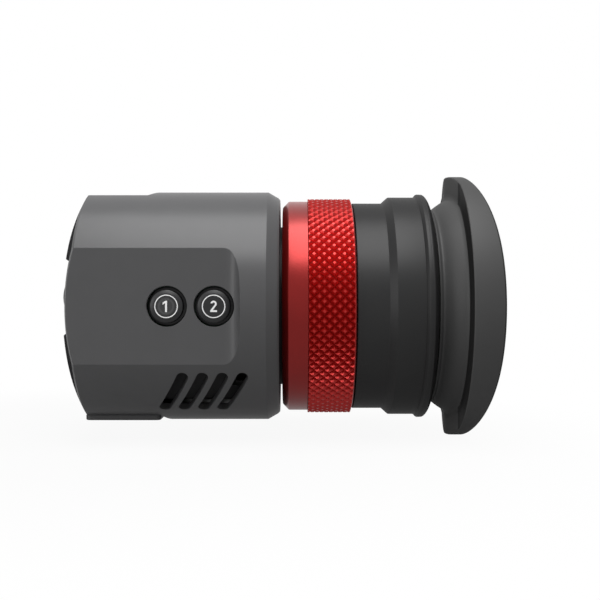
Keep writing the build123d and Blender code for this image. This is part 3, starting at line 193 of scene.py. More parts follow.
# %% A finish: one material and the method that adds its nodes
class Finish:
    """A material, its shader and its object coordinates in metres."""

    def __init__(self, name, color, roughness, metallic=0.0, **constants):
        self.material = bpy.data.materials.new(name)
        self.material.use_nodes = True
        self.tree = self.material.node_tree
        self.shader = self.tree.nodes["Principled BSDF"]
        self.shader.inputs["Base Color"].default_value = (*color, 1)
        self.shader.inputs["Roughness"].default_value = roughness
        self.shader.inputs["Metallic"].default_value = metallic
        self.material.diffuse_color = (*color, 1)
        for socket, value in constants.items():
            self.shader.inputs[socket.replace("_", " ")].default_value = value
        self.place = self.node("ShaderNodeTexCoord", output="Object")

    def node(self, kind, settings=None, sockets=None, output=0):
        made = self.tree.nodes.new(kind)
        for setting, value in (settings or {}).items():
            setattr(made, setting, value)
        for socket, value in (sockets or {}).items():
            if isinstance(value, Flow):
                self.tree.links.new(value.socket, made.inputs[socket])
            else:
                made.inputs[socket].default_value = value
        return Flow(self, made.outputs[output])

    def feed(self, socket, flow):
        self.tree.links.new(flow.socket, self.shader.inputs[socket])

    def axes(self):
        """The object coordinates x, y and z, each as a number."""
        return [self.node("ShaderNodeSeparateXYZ", {}, {0: self.place}, k) for k in range(3)]

    def grain(self, size_mm, detail=3.0, stretch=(1, 1, 1)):
        """Noise from 0 to 1 whose spots are about size_mm across, stretched along the axes."""
        place = self.node("ShaderNodeMapping", {}, {0: self.place, "Scale": stretch})
        return self.node("ShaderNodeTexNoise", {},
                         {"Vector": place, "Scale": 1 / (size_mm * MM), "Detail": detail})

    def blend(self, mask, dark, light):
        """A colour that runs from dark to light as the mask runs from 0 to 1."""
        dark, light = [c if isinstance(c, Flow) else (*c, 1) for c in (dark, light)]
        return self.node("ShaderNodeMix", {"data_type": "RGBA"}, {0: mask, 6: dark, 7: light}, 2)

    def vary_color(self, mask, dark, light):
        """Base Color that runs from dark to light as the mask runs from 0 to 1."""
        self.feed("Base Color", self.blend(mask, dark, light))

    def vary_roughness(self, mask, low, high):
        """Roughness that runs from low to high as the mask runs from 0 to 1."""
        self.feed("Roughness", mask * (high - low) + low)

    def sheen(self, weight, roughness):
        """A gloss over the colour that fades as (cos angle)^1.5 where the surface turns away,
        because the fine grain shades itself when it is seen at a flat angle."""
        turn = self.node("ShaderNodeLayerWeight", {}, {"Blend": 0.5}, output=1)
        self.feed("Coat Weight", (1 - turn) ** 1.5 * weight)
        self.shader.inputs["Coat Roughness"].default_value = roughness

    def emboss(self, height, depth_mm, soften_edges_mm=0.0):
        """Bump of this depth from a 0 to 1 height, over edges softened by a Bevel node."""
        sockets = {"Height": height, "Distance": depth_mm * MM, "Strength": 1.0}
        if soften_edges_mm:
            sockets["Normal"] = self.node("ShaderNodeBevel", {"samples": 6},
                                          {"Radius": soften_edges_mm * MM})
        self.feed("Normal", self.node("ShaderNodeBump", {}, sockets))


def dress(finish, *names):
    """Gives every named object the finish, in place of all the materials it has."""
    for name in names:
        shown = bpy.data.objects[name]
        shown.data.materials.clear()
        shown.data.materials.append(finish.material)
    print(finish.material.name, "on", ", ".join(names))


# %% [markdown]
# ## Camera
#
# The photo is taken from the side, level with the optical axis and close by, so near parts look
# larger. Each round edge shows twice, at the outline and where it comes nearest, and how far
# apart the two lie gives a distance of 256 mm. One millimetre at the axis is 3.686 pixels, so
# the lens is 56.6 mm on a 36 mm frame. The small shift puts the object where the photo has it.

# %% Camera
CAMERA_STATION, CAMERA_DISTANCE, CAMERA_RAISE = 44.0, 256.0, 1.54
lens = bpy.data.cameras.new("side_camera")
lens.lens = 56.62
lens.sensor_width = 36.0
lens.shift_x = 0.0125
lens.clip_start = 0.01
camera = bpy.data.objects.new("side_camera", lens)
camera.location = (CAMERA_STATION * MM, -CAMERA_DISTANCE * MM, (AXIS + CAMERA_RAISE) * MM)
camera.rotation_euler = (math.pi / 2, 0, 0)
bpy.context.scene.collection.objects.link(camera)
bpy.context.scene.camera = camera
print("camera at", tuple(round(v, 4) for v in camera.location))

# %% [markdown]
# ## Light
#
# One large soft box hangs overhead and reaches forward, as the bright band along every upper
# slope shows. A weak box at the front left lights the faces that turn forward. The world gives a
# low even fill. The background is white only for rays that come straight from the camera, from
# a gloss or through glass, so it adds no light to the object.

# %% Lamps and world
def soft_box(name, place, aim, width, height, power):
    """A rectangular area lamp at a place, turned so that it shines at the aim point."""
    light = bpy.data.lights.new(name, "AREA")
    light.shape = "RECTANGLE"
    light.size, light.size_y, light.energy = width, height, power
    lamp = bpy.data.objects.new(name, light)
    direction = np.array(aim) - np.array(place)
    direction = direction / np.linalg.norm(direction)
    side = np.cross(direction, (0, 0, 1))
    side = side / np.linalg.norm(side)
    up = np.cross(side, direction)
    frame_of_lamp = np.eye(4)
    frame_of_lamp[:3, 0], frame_of_lamp[:3, 1], frame_of_lamp[:3, 2] = side, up, -direction
    frame_of_lamp[:3, 3] = place
    lamp.matrix_world = Matrix(frame_of_lamp.tolist())
    bpy.context.scene.collection.objects.link(lamp)


soft_box("overhead_box", (0.044, -0.16, 0.42), (0.044, -0.159, 0),
         width=0.30, height=0.43, power=3.1)
soft_box("front_box", (-0.36, -0.18, 0.12), (0.044, -0.02, 0.03),
         width=0.18, height=0.28, power=0.60)

WORLD_FILL = 0.08
world = bpy.data.worlds.new("studio")
bpy.context.scene.world = world
world.use_nodes = True
world_tree = world.node_tree
background = world_tree.nodes["Background"]
seen = world_tree.nodes.new("ShaderNodeLightPath")
any_seen = seen.outputs["Is Camera Ray"]
for output in ("Is Glossy Ray", "Is Transmission Ray"):
    either = world_tree.nodes.new("ShaderNodeMath")
    either.operation = "MAXIMUM"
    world_tree.links.new(any_seen, either.inputs[0])
    world_tree.links.new(seen.outputs[output], either.inputs[1])
    any_seen = either.outputs[0]
fill = world_tree.nodes.new("ShaderNodeMapRange")
fill.inputs["To Min"].default_value = WORLD_FILL
fill.inputs["To Max"].default_value = 1.0
world_tree.links.new(any_seen, fill.inputs["Value"])
world_tree.links.new(fill.outputs["Result"], background.inputs["Strength"])
background.inputs["Color"].default_value = (1, 1, 1, 1)
bpy.context.scene.view_settings.view_transform = "Standard"

# %% [markdown]
# ## Floor
#
# The photo has no floor, only white. A pale floor still has to carry the object, so it lies
# just under the eyecup's lip. For the camera it is mostly white, and a part of its true shade
# keeps the object's soft shadow. In the gloss of the object it is white only further off.

# %% Floor
FLOOR_GAP = 0.05
FLOOR_REACH = 3.0
floor_height = cad_box[0][2] - FLOOR_GAP * MM
corners = FLOOR_REACH * np.array([(-1, -1, 0), (1, -1, 0), (1, 1, 0), (-1, 1, 0)])
floor_mesh = bpy.data.meshes.new("floor")
floor_mesh.from_pydata((corners + (0, 0, floor_height)).tolist(), [], [(0, 1, 2, 3)])
floor = bpy.data.objects.new("floor", floor_mesh)
bpy.context.scene.collection.objects.link(floor)
pale = Finish("pale_floor", (0.40, 0.40, 0.40), 0.8)
glow = pale.node("ShaderNodeEmission", {}, {"Color": (1, 1, 1, 1), "Strength": 1.0})
direct, gloss, through = [pale.node("ShaderNodeLightPath", output=o) for o in
                          ("Is Camera Ray", "Is Glossy Ray", "Is Transmission Ray")]
far = pale.node("ShaderNodeVectorMath", {"operation": "LENGTH"}, {0: pale.place}, output=1)


def whiteness(start, end, near):
    """Runs smoothly from near to 1 as the distance from the middle runs from start to end."""
    return pale.node("ShaderNodeMapRange", {"interpolation_type": "SMOOTHSTEP"},
                     {"Value": far, "From Min": start, "From Max": end, "To Min": near})


white_share = direct.maths("MAXIMUM", through) * whiteness(0.05, 0.16, 0.93)
white_share = white_share + gloss * whiteness(0.15, 0.60, 0.5)
shade = Flow(pale, pale.shader.outputs[0])
seen_floor = pale.node("ShaderNodeMixShader", {}, {0: white_share, 1: shade, 2: glow})
pale.tree.links.new(seen_floor.socket, pale.tree.nodes["Material Output"].inputs["Surface"])
floor_mesh.materials.append(pale.material)
print("floor at", round(floor_height, 5))

# %% [markdown]
# ## Focus ring
#
# The ring is turned from aluminium, knurled and anodised red. A knurling wheel presses two
# sets of crossing grooves, which leave rows of diamonds with small flat tops. A bump pattern
# would look flat at the outline, so the diamonds are real faces here. The grid has a line
# through every groove and every top, so the four flanks stay flat and the edges stay crisp.

# %% Knurled band
KNURL_PITCH = 2.48
KNURL_COUNT = 74
KNURL_DEPTH = 0.80
KNURL_PARTS = 3
KNURL_START, KNURL_END, KNURL_RADIUS = 48.05, 59.21, 28.70
KNURL_TOP = 2 / 3


def knurled_ring(name):
    """Radius r = R - depth (1 - min(w(a), w(b), 2/3) 3/2) with a = x/pitch + n t/2pi, b = x/pitch
    - n t/2pi and w the distance from the nearest groove line, 0 in a groove and 1 midway."""
    rows = round((KNURL_END - KNURL_START) / (KNURL_PITCH / 2)) * KNURL_PARTS
    x = KNURL_START + np.arange(rows + 1) * KNURL_PITCH / 2 / KNURL_PARTS
    columns = KNURL_COUNT * 2 * KNURL_PARTS
    t = np.arange(columns + 1) * FULL / columns
    along, around = (x - KNURL_START)[:, None] / KNURL_PITCH, KNURL_COUNT * t[None] / FULL
    a, b = along + around, along - around
    rise = [1 - np.abs(2 * (phase - np.floor(phase)) - 1) for phase in (a, b)]
    height = np.minimum(np.minimum(*rise), KNURL_TOP) / KNURL_TOP
    band = KNURL_RADIUS - KNURL_DEPTH * (1 - height)
    front = [(41.4, 22.6), (41.4, 25.9), (41.45, 26.28), (41.6, 26.55), (42.85, 27.85),
             (43.0, 27.97), (43.25, 28.05), (47.85, 28.05), (47.95, 28.0), (48.0, 27.85)]
    rear = [(59.25, 27.9), (59.5, 27.75), (59.6, 27.5), (59.6, 25.3), (67.2, 25.3), (67.3, 25.2),
            (67.3, 24.5), (67.2, 24.4), (59.7, 24.4), (59.7, 23.8), (57.05, 23.8), (57.05, 21.3),
            (43.5, 21.3), (43.5, 22.5), (41.5, 22.5), (41.4, 22.6)]
    outline_x = np.concatenate([[p[0] for p in front], x, [p[0] for p in rear]])
    plain = np.concatenate([[p[1] for p in front], 0 * x, [p[1] for p in rear]])
    radius = np.repeat(plain[:, None], columns + 1, 1)
    radius[len(front):len(front) + len(x)] = band
    points = np.stack([np.repeat(outline_x[:, None], columns + 1, 1),
                       radius * np.sin(t), AXIS + radius * np.cos(t)], -1)
    row_cell = (np.arange(len(outline_x) - 1) - len(front)) // KNURL_PARTS
    column_cell = np.arange(columns) // KNURL_PARTS
    flip = (row_cell[:, None] + column_cell[None]) % 2 == 1
    return closed_grid(name, points, crease=18.0, flip=flip)


red_ring = knurled_ring("focus_ring_red")
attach(red_ring, "focus")
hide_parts("focus_ring")

# %% [markdown]
# ## Red anodised finish
#
# Anodising leaves the metal's gloss and dyes it. The highlights turn pink and the shaded facets
# go deep red. The knurled band is coloured a lighter red than the smooth one. Lathe marks run
# round the ring, so the roughness varies along X only.

# %% Red anodise
red = Finish("red_anodised", (0.2, 0.006, 0.005), 0.32, 0.7, Specular_IOR_Level=0.25,
             Coat_Weight=0.25, Coat_Roughness=0.3)
lathe = red.grain(0.12, 2.0, (1, 0.02, 0.02))
red.vary_roughness(lathe, 0.28, 0.38)
along = red.axes()[0]
# The knurled band between these stations gets a lighter red.
LIGHTER_RED_FROM, LIGHTER_RED_TO = 48.0, 59.3
knurled = (along > LIGHTER_RED_FROM * MM) * (along < LIGHTER_RED_TO * MM)
red.vary_color(knurled * 0.8 + red.grain(6.0, 3.0) * 0.2,
               (0.17, 0.004, 0.003), (0.40, 0.012, 0.010))
red.emboss(lathe, 0.004)
dress(red, "focus_ring_red")

# %% [markdown]
# ## Eyepiece sleeve and bezel
#
# Both are turned aluminium, anodised black. The sleeve steps up at 45 degrees behind the ring.
# The bezel behind it has a rounded ridge with a fine joint in front of it. A plain half section
# with softened corners, turned with many spokes, gives the round outline and the edge lines.

# %% Sleeve
sleeve_outline = soften(
    [(59.8, 25.7), (59.8, 27.55), (67.7, 27.55), (69.5, 29.15), (76.4, 29.15), (76.4, 22.0),
     (72.2, 22.0), (72.2, 19.05), (70.3, 19.05), (70.3, 17.05), (46.0, 17.05), (46.0, 15.6),
     (45.0, 15.6), (45.0, 19.1), (68.8, 19.1), (68.8, 25.7)],
    [0.2, 0.35, 0.15, 0.15, 0.02, 0.1, 0.1, 0.1, 0.1, 0.1, 0.1, 0.1, 0.1, 0.1, 0.2, 0.2])
sleeve = turned("eyepiece_sleeve", sleeve_outline)
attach(sleeve, "eyepiece")
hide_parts("eyepiece_barrel")

# %% Bezel
bend = np.linspace(0, math.pi / 2, 14)[:, None]
ridge = np.hstack([78.0 + 1.8 * np.sin(bend), 26.0 + 3.95 * np.cos(bend)])
bezel_front = soften([(79.8, 24.6), (85.1, 24.6), (85.1, 25.2), (86.0, 25.2), (86.0, 22.6),
                      (76.5, 17.8), (73.05, 17.8), (73.05, 21.95), (76.41, 21.95), (76.41, 29.15),
                      (77.1, 29.95), (77.9, 29.95)],
                     [0.05, 0.1, 0.1, 0.2, 0.3, 0.3, 0.1, 0.2, 0.1, 0.02, 0.12, 0.05])
bezel_outline = np.vstack([bezel_front[:-1], ridge[1:], bezel_front[:1]])
bezel = turned("eyepiece_bezel_ridge", bezel_outline)
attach(bezel, "eyepiece")
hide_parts("eyepiece_bezel")

# %% [markdown]
# ## Black anodised finish
#
# Black anodising on turned aluminium is matt and a little grey. The lathe's marks are too fine
# to see one by one, but they spread the gloss round the piece.

# %% Black anodise
black = Finish("black_anodised", (0.014, 0.014, 0.014), 0.45, 0.0, Specular_IOR_Level=0.04)
turning = black.grain(0.10, 2.0, (1, 0.02, 0.02))
black.vary_roughness(turning, 0.40, 0.50)
black.sheen(0.42, 0.42)
black.vary_color(black.grain(9.0), (0.012, 0.012, 0.0125), (0.017, 0.017, 0.017))
black.emboss(turning, 0.003)
dress(black, "eyepiece_sleeve", "eyepiece_bezel_ridge", "eyepiece_tube", "ring_retainer",
      "lens_spacer", "lens_retainer")

# %% [markdown]
# ## Eyecup
#
# The eyecup is moulded rubber: a flared neck, a lip whose rim stands further out at the sides,
# and a lug at the top and bottom to pull it round by. The whole cup is one closed surface, a
# half section whose stations change with the angle round the axis.

# %% Rim and lug heights
LIP = 34.6
LIP_FACE = 86.8
RIM, RIM_SWELL, RIM_BOW = 89.1, 5.38, 0.56
LUG, LUG_HALF = 1.8, 15.0
NECK_END, NECK_RADIUS = 81.5, 25.95
INNER_LIP = 33.1
ROUND, INNER_ROUND = 0.6, 0.5


def rim_station(y):
    """X = rim + swell s^2 (1 + bow (1 - s^2)), with s the distance to the side over the lip."""
    s = y / LIP
    return RIM + RIM_SWELL * s**2 * (1 + RIM_BOW * (1 - s**2))


def lug_rise(y):
    """The lug's height in the middle, falling evenly to nothing at its half width to either
    side, with a soft top."""
    return LUG * np.clip(1 - np.sqrt((y / LUG_HALF) ** 2 + 0.004), 0, None)


def cup_row(station, radius, t):
    """One ring of points, with the station and radius given for every angle t."""
    station, radius = np.broadcast_to(station, t.shape), np.broadcast_to(radius, t.shape)
    return np.stack([station, radius * np.sin(t), AXIS + radius * np.cos(t)], -1)


# %% Eyecup surface
t = np.linspace(0, FULL, 361)
rows = []
for station, radius in ((86.1, 23.4), (86.1, 25.25), (85.0, 25.25), (85.0, 24.65), (80.1, 24.65),
                        (80.0, 24.75), (80.0, 26.1), (80.08, 26.3), (80.25, 26.38),
                        (80.5, 26.3), (80.8, 25.95), (81.1, 25.8), (NECK_END, NECK_RADIUS)):
    rows.append(cup_row(station, radius, t))
flare_end = LIP_FACE - 0.30 - lug_rise(29.0 * np.sin(t))
for share in (0.12, 0.3, 0.5, 0.7, 0.88, 1.0):
    rise = (flare_end - NECK_END) * share
    rows.append(cup_row(NECK_END + rise, NECK_RADIUS + 0.84 * rise * (1 - 0.053 * rise), t))
for radius in (29.5, 30.4, 31.5, 32.7, 33.6, 34.2):
    rows.append(cup_row(LIP_FACE - lug_rise(radius * np.sin(t)), radius, t))
lip_start = LIP_FACE - lug_rise(34.3 * np.sin(t))
for lead, radius in ((0.06, 34.45), (0.20, 34.57), (0.40, LIP)):
    rows.append(cup_row(lip_start + lead, radius, t))
rim = rim_station(LIP * np.sin(t))
for bend in np.linspace(0, math.pi / 2, 7):
    rows.append(cup_row(rim - ROUND * (1 - math.sin(bend)), LIP - ROUND * (1 - math.cos(bend)), t))
inner_rim = rim_station(INNER_LIP * np.sin(t))
for bend in np.linspace(0, math.pi / 2, 5):
    rows.append(cup_row(inner_rim - INNER_ROUND * (1 - math.cos(bend)),
                        INNER_LIP - INNER_ROUND * math.sin(bend), t))
for station, radius in ((90.6, 32.6), (89.7, 32.35), (89.1, 31.8), (88.75, 31.1), (88.5, 30.2),
                        (88.1, 28.1), (87.3, 23.9), (87.15, 23.5), (87.0, 23.4), (86.1, 23.4)):
    rows.append(cup_row(np.minimum(station, inner_rim - INNER_ROUND), radius, t))
cup = closed_grid("eyecup_rubber", np.stack(rows), crease=50.0)
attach(cup, "cup")
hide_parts("eyecup")

# %% [markdown]
# ## Rubber finish
#
# Moulded rubber is matt, with a fine even grain from the mould and a faint bloom. The grain is a
# shallow bump, and the bloom shows as patches that are a little lighter and rougher. The front
# face of the lip, between the flare and the edge, is painted much darker, a painted shade of the
# deep gap there, except on the lugs. The thin edge of the rim is painted darker too, a painted
# shade.

# %% Rubber
EDGE = 0.48
rubber = Finish("moulded_rubber", (0.056, 0.056, 0.056), 0.6, 0.0, Specular_IOR_Level=0.04)
bloom = rubber.grain(7.0, 4.0)
section = rubber.node("ShaderNodeVectorMath", {"operation": "MULTIPLY_ADD"},
                      {0: rubber.place, 1: (0, 1, 1), 2: (0, 0, -AXIS * MM)})
out = rubber.node("ShaderNodeVectorMath", {"operation": "LENGTH"}, {0: section}, output=1)
station, across, _ = rubber.axes()
# Painted shade: the lip's front face between the flare and the rim is darkened in the colour,
# except on the lugs.
groove = (out > 29.3 * MM) * (out < 34.35 * MM) * (station < 88.2 * MM)
groove = groove * (across.maths("ABSOLUTE") > 13 * MM)
side = across * (1 / (LIP * MM))
side = side * side
rim_here = side * (1 + RIM_BOW - side * RIM_BOW) * (RIM_SWELL * MM) + (RIM - EDGE) * MM
# Painted shade: the rim's rounded edge, within EDGE of its end, is darkened in the colour.
edge = station > rim_here
rubber.vary_color((bloom * 0.15 + 0.85) * (1 - groove) * (1 - edge * 0.7), (0.010, 0.010, 0.010),
                  (0.058, 0.058, 0.058))
rubber.vary_roughness(bloom, 0.56, 0.66)
rubber.sheen(0.38, 0.48)
rubber.emboss(rubber.grain(0.25, 2.0), 0.012)
dress(rubber, "eyecup_rubber")

# %% [markdown]
# ## Menu knob
#
# The knob in the front channel is a moulded cap with a domed end and a gripped skirt. It turns
# about its own axis, 2.3 mm above the optical one. The grips are shallow round flutes, worked
# out as a ripple of the radius on the skirt's rows only.

# %% Knob surface
KNOB_AXIS = 32.0
KNOB_TOP, DOME_CURVE, DOME_RADIUS = -17.9, 9.1, 8.1
FLUTES, FLUTE_DEPTH = 24, 0.3
bend = np.linspace(0, math.asin(DOME_RADIUS / DOME_CURVE), 12)
dome = np.stack([KNOB_TOP + DOME_CURVE * (1 - np.cos(bend)), DOME_CURVE * np.sin(bend)], -1)
skirt = [(-12.75, 8.17), (-12.6, 8.2), (-12.2, 8.2), (-11.6, 8.2), (-11.0, 8.2), (-10.7, 8.15),
         (-10.6, 8.05), (-10.6, 3.0), (-6.6, 3.0), (-6.6, 2.03), (-14.3, 2.03), (-14.3, 0.0)]
knob_outline = np.vstack([dome, skirt, dome[:1]])
t = np.linspace(0, FULL, FLUTES * 16 + 1)
flute = np.clip(np.cos(FLUTES * t) - 0.2, 0, None) / 0.8
fluted = ((knob_outline[:, 0] > -12.7) & (knob_outline[:, 1] > DOME_RADIUS))[:, None]
radius = knob_outline[:, 1, None] - FLUTE_DEPTH * flute * fluted
points = np.stack([knob_outline[:, 0, None] + 0 * t, radius * np.sin(t),
                   KNOB_AXIS + radius * np.cos(t)], -1)
knob = closed_grid("menu_knob_cap", points)
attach(knob, "knob")
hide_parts("menu_knob")

# %% Knob finish
moulded = Finish("moulded_black", (0.012, 0.012, 0.013), 0.45, 0.0, Specular_IOR_Level=0.04)
moulded.vary_roughness(moulded.grain(1.5, 3.0), 0.40, 0.52)
moulded.sheen(0.3, 0.4)
moulded.emboss(moulded.grain(0.2, 2.0), 0.006)
dress(moulded, "menu_knob_cap")

# %% [markdown]
# ## Push buttons
#
# Each button is a round cap of dark plastic in a wider round well. Its flat face has a white
# printed ring and a number. The print is ink, a hundredth of a millimetre thick, so it is a
# thin mesh that lies on the face. The number 1 is seven corners. The number 2 is two arcs, a
# slanting stroke and a foot, all in one outline.

# %% Caps
BUTTON_FACE = -27.6
BUTTON_STATIONS = (13.4, 24.9)
INK, INK_SUNK = 0.012, 0.004


def turned_at(name, x, outline):
    """Point (y, r) of the outline becomes (x + r cos t, y, AXIS + r sin t), round an axis along Y
    at the station x."""
    t = np.linspace(0, FULL, 129)
    y, r = outline[:, 0, None], outline[:, 1, None]
    return closed_grid(name, np.stack([x + r * np.cos(t), y + 0 * t, AXIS + r * np.sin(t)], -1))


def button_cap(name, x):
    """A cap with a flat face, a bevel, a straight side and a flange behind."""
    outline = soften([(BUTTON_FACE, 0.001), (BUTTON_FACE, 3.05), (BUTTON_FACE + 0.42, 4.0),
                      (-24.9, 4.0), (-24.9, 4.7), (-24.25, 4.7), (-24.25, 1.5), (-23.5, 1.5),
                      (-23.5, 0.001)], [0, 0.25, 0.2, 0.1, 0.1, 0.1, 0.1, 0.1, 0])
    return turned_at(name, x, outline)


def printed_ring(name, x, inner, outer):
    """A flat ring of ink, a rectangle between two radii turned round the button's axis."""
    y0, y1 = BUTTON_FACE + INK_SUNK, BUTTON_FACE - INK
    outline = np.array([(y0, inner), (y1, inner), (y1, outer), (y0, outer), (y0, inner)])
    return turned_at(name, x, outline)


def printed_shape(name, x, outline):
    """A closed outline of (right, up) points round the button's centre, with a thin edge."""
    count = len(outline)
    right, up = np.asarray(outline).T
    front = np.stack([x + right, np.full(count, BUTTON_FACE - INK), AXIS + up], -1)
    points = np.vstack([front, front + (0, INK + INK_SUNK, 0)]) * MM
    around = np.arange(count)
    after = (around + 1) % count
    sides = np.stack([around, around + count, after + count, after], -1)
    flat = bpy.data.meshes.new(name)
    flat.from_pydata(points.tolist(), [],
                     [around.tolist(), (around[::-1] + count).tolist(), *sides.tolist()])
    shape = bmesh.new()
    shape.from_mesh(flat)
    bmesh.ops.recalc_face_normals(shape, faces=shape.faces)
    shape.to_mesh(flat)
    shape.free()
    shown = bpy.data.objects.new(name, flat)
    bpy.context.scene.collection.objects.link(shown)
    print(name, "points:", count)
    return shown


BOW_HEIGHT = 0.62


def arc(radius, start, end, steps=24):
    """Points (r cos u, h + r sin u) for u from start to end, in degrees, round the 2's bow."""
    u = np.radians(np.linspace(start, end, steps))
    return np.stack([radius * np.cos(u), BOW_HEIGHT + radius * np.sin(u)], -1)


ONE = [(0.23, -1.37), (0.23, 1.37), (-0.12, 1.37), (-0.86, 0.88), (-0.86, 0.40), (-0.25, 0.78),
       (-0.25, -1.37)]
TWO = np.vstack([arc(0.76, 168, -38), [(-0.20, -0.94), (0.82, -0.94), (0.82, -1.37),
                                       (-0.82, -1.37), (-0.82, -0.99)], arc(0.33, -38, 168)])
for number, x in enumerate(BUTTON_STATIONS, 1):
    cap = button_cap(f"button_{number}_face", x)
    ring = printed_ring(f"button_{number}_ring", x, 2.60, 2.84)
    digit = printed_shape(f"button_{number}_digit", x, ONE if number == 1 else TWO)
    for piece in (cap, ring, digit):
        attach(piece, f"button_{number}")
    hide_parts(f"button_{number}_cap")

# %% Button finishes
cap_plastic = Finish("button_black", (0.014, 0.014, 0.015), 0.40, 0.0, Specular_IOR_Level=0.3)
cap_plastic.vary_roughness(cap_plastic.grain(1.2, 3.0), 0.36, 0.46)
cap_plastic.emboss(cap_plastic.grain(0.15, 2.0), 0.004)
dress(cap_plastic, "button_1_face", "button_2_face")
ink = Finish("white_ink", (0.88, 0.88, 0.88), 0.5)
ink.vary_color(ink.grain(0.4), (0.84, 0.84, 0.84), (0.92, 0.92, 0.92))
dress(ink, "button_1_ring", "button_1_digit", "button_2_ring", "button_2_digit")

# %% [markdown]
# ## Body paint
#
# The body is cast aluminium with a satin powder coat, dark grey with a fine even grain. The cap
# at the front has the same coat in a darker grey, and so has the rim round it above and below
# the side flats. A Bevel node softens the sharp edges of the solids, as a thick coat does, and the
# grain is a shallow bump. The wall of the bore round each button is painted a lighter grey, a
# painted light that lifts the shade in the wells.

# %% Paint on the body and the cap
def powder_coat(name, color, gloss, specular):
    """Satin paint with a fine grain and softened edges."""
    paint = Finish(name, color, 0.34, 0.0, Specular_IOR_Level=specular)
    paint.vary_roughness(paint.grain(0.6, 3.0), 0.30, 0.38)
    paint.sheen(gloss, 0.32)
    paint.emboss(paint.grain(0.22, 2.0), 0.006, 0.35)
    return paint


SIDE_FLAT = 27.0
body_paint = powder_coat("grey_powder_coat", (0.076, 0.076, 0.078), 0.42, 0.06)
x, y, z = body_paint.axes()
front_rim = ((x < -9.2 * MM) * (y > -27.2 * MM)).maths("MAXIMUM", x < -10.3 * MM)
front_rim = front_rim * (1 - (z > 15.5 * MM) * (z < 43.9 * MM))
mottled = (body_paint.grain(5.0, 4.0) * 0.13 + 0.87) * (1 - front_rim)
coat = body_paint.blend(mottled, (0.026, 0.026, 0.027), (0.079, 0.079, 0.081))
to_button = [body_paint.node("ShaderNodeVectorMath", {"operation": "DISTANCE"},
                             {0: body_paint.place, 1: (station * MM, -SIDE_FLAT * MM, AXIS * MM)},
                             1) for station in BUTTON_STATIONS]
# Painted light: the bore round each button gets a lighter grey, to lift the shade in the well.
well = to_button[0].maths("MINIMUM", to_button[1]) < 5.2 * MM
well = well * (y > -(SIDE_FLAT - 0.03) * MM)
body_paint.vary_color(well, coat, (0.22, 0.22, 0.225))
dress(body_paint, "housing", "base_plate")
cover_paint = powder_coat("dark_powder_coat", (0.026, 0.026, 0.027), 0.15, 0.0)
cover_paint.vary_color(cover_paint.grain(5.0, 4.0), (0.024, 0.024, 0.025), (0.028, 0.028, 0.029))
dress(cover_paint, "front_cover")

# %% [markdown]
# ## Glass
#
# The lenses are coated glass. Light passes through them, and the coating leaves a faint green
# gloss. Only the eye lens shows, so it gets a smooth turned surface of its own.

# %% Eye lens
LENS_EDGE, LENS_CURVE, LENS_CLEAR = 73.0, 38.0, 17.7
bend = np.linspace(0, math.asin(LENS_CLEAR / LENS_CURVE), 24)
lens_centre = LENS_EDGE - LENS_CURVE * math.cos(bend[-1])
face = np.stack([lens_centre + LENS_CURVE * np.cos(bend), LENS_CURVE * np.sin(bend)], -1)
lens_outline = np.vstack([face, [(73.0, 18.9), (72.9, 19.0), (70.4, 19.0), (70.3, 18.9),
                                 (70.3, 0.0)], face[:1]])
eye_glass = turned("eye_lens_glass", lens_outline, spokes=160)
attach(eye_glass, "eyepiece")
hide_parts("eye_lens")

# %% Coated glass
glass = Finish("coated_glass", (0.95, 0.98, 0.96), 0.02, 0.0, Transmission_Weight=1.0, IOR=1.5,
               Coat_Weight=0.3, Coat_Tint=(0.6, 0.9, 0.7, 1))
glass.vary_roughness(glass.grain(8.0), 0.01, 0.03)
dress(glass, "eye_lens_glass", "field_lens", "crown_lens", "flint_lens", "display_glass")

# %% [markdown]
# ## Inside and far side
#
# Screws and turned parts are steel, the socket shells are pressed steel, the boards are glass
# laminate with green solder mask, and the heat sink is anodised dark. They show only through
# the vents, in the sockets and where the model is taken apart.

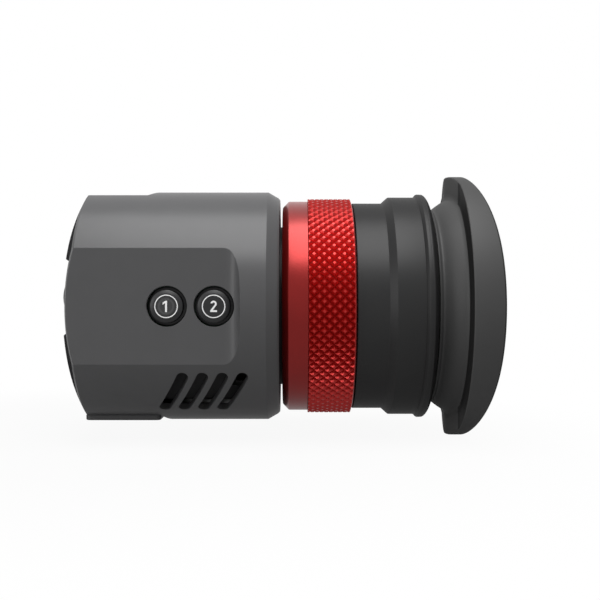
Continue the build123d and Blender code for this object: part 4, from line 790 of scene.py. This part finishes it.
# %% Metals inside
steel = Finish("turned_steel", (0.50, 0.50, 0.51), 0.30, 1.0)
steel.vary_roughness(steel.grain(0.15, 2.0, (1, 0.1, 0.1)), 0.22, 0.38)
dress(steel, "encoder_shaft", "follower_pins", "base_insert", "top_insert", "picture_socket",
      "power_socket")
dark_steel = Finish("blackened_steel", (0.05, 0.05, 0.052), 0.35, 0.8)
dark_steel.vary_roughness(dark_steel.grain(0.3, 2.0), 0.28, 0.45)
dress(dark_steel, *[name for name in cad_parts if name.endswith("_screws")])
brass = Finish("turned_brass", (0.62, 0.42, 0.16), 0.30, 1.0)
brass.vary_roughness(brass.grain(0.2, 2.0), 0.24, 0.38)
dress(brass, "standoffs")
sink_metal = Finish("dark_anodised", (0.060, 0.060, 0.062), 0.5, 0.0, Specular_IOR_Level=0.1)
sink_metal.vary_roughness(sink_metal.grain(0.2, 2.0, (0.1, 1, 1)), 0.45, 0.6)
dress(sink_metal, "heat_sink")

# %% Plastics, boards and soft parts inside
inner = Finish("inner_plastic", (0.020, 0.020, 0.021), 0.55, 0.0, Specular_IOR_Level=0.3)
inner.vary_roughness(inner.grain(0.8, 3.0), 0.48, 0.62)
dress(inner, "push_slider", "encoder_body", "board_link", "switches", "picture_tongue",
      "power_tongue", "display_carrier", "panel_clamp", "flex_plug", "processor", "memory_chips")
laminate = Finish("green_laminate", (0.012, 0.075, 0.035), 0.35)
laminate.vary_color(laminate.grain(0.7, 2.0), (0.010, 0.062, 0.030), (0.016, 0.090, 0.042))
dress(laminate, "knob_board", "button_board", "main_board", "socket_board")
film = Finish("amber_film", (0.42, 0.20, 0.04), 0.30)
film.vary_color(film.grain(1.5), (0.38, 0.17, 0.03), (0.46, 0.23, 0.05))
dress(film, "display_flex")
pad = Finish("silicone_pad", (0.30, 0.34, 0.42), 0.8)
pad.vary_color(pad.grain(0.5), (0.28, 0.32, 0.40), (0.33, 0.37, 0.45))
dress(pad, "thermal_pad")
dress(rubber, "ring_seal")
screen = Finish("display_black", (0.008, 0.008, 0.010), 0.12, 0.0)
screen.vary_roughness(screen.grain(3.0), 0.10, 0.15)
dress(screen, "display_panel")

# %% [markdown]
# ## Size of the solids
#
# The box that the solids fill is printed; the dressed model should fill the same box.

# %% Size of the solids
print("box of the solids:", [[round(v, 4) for v in corner] for corner in cad_box])
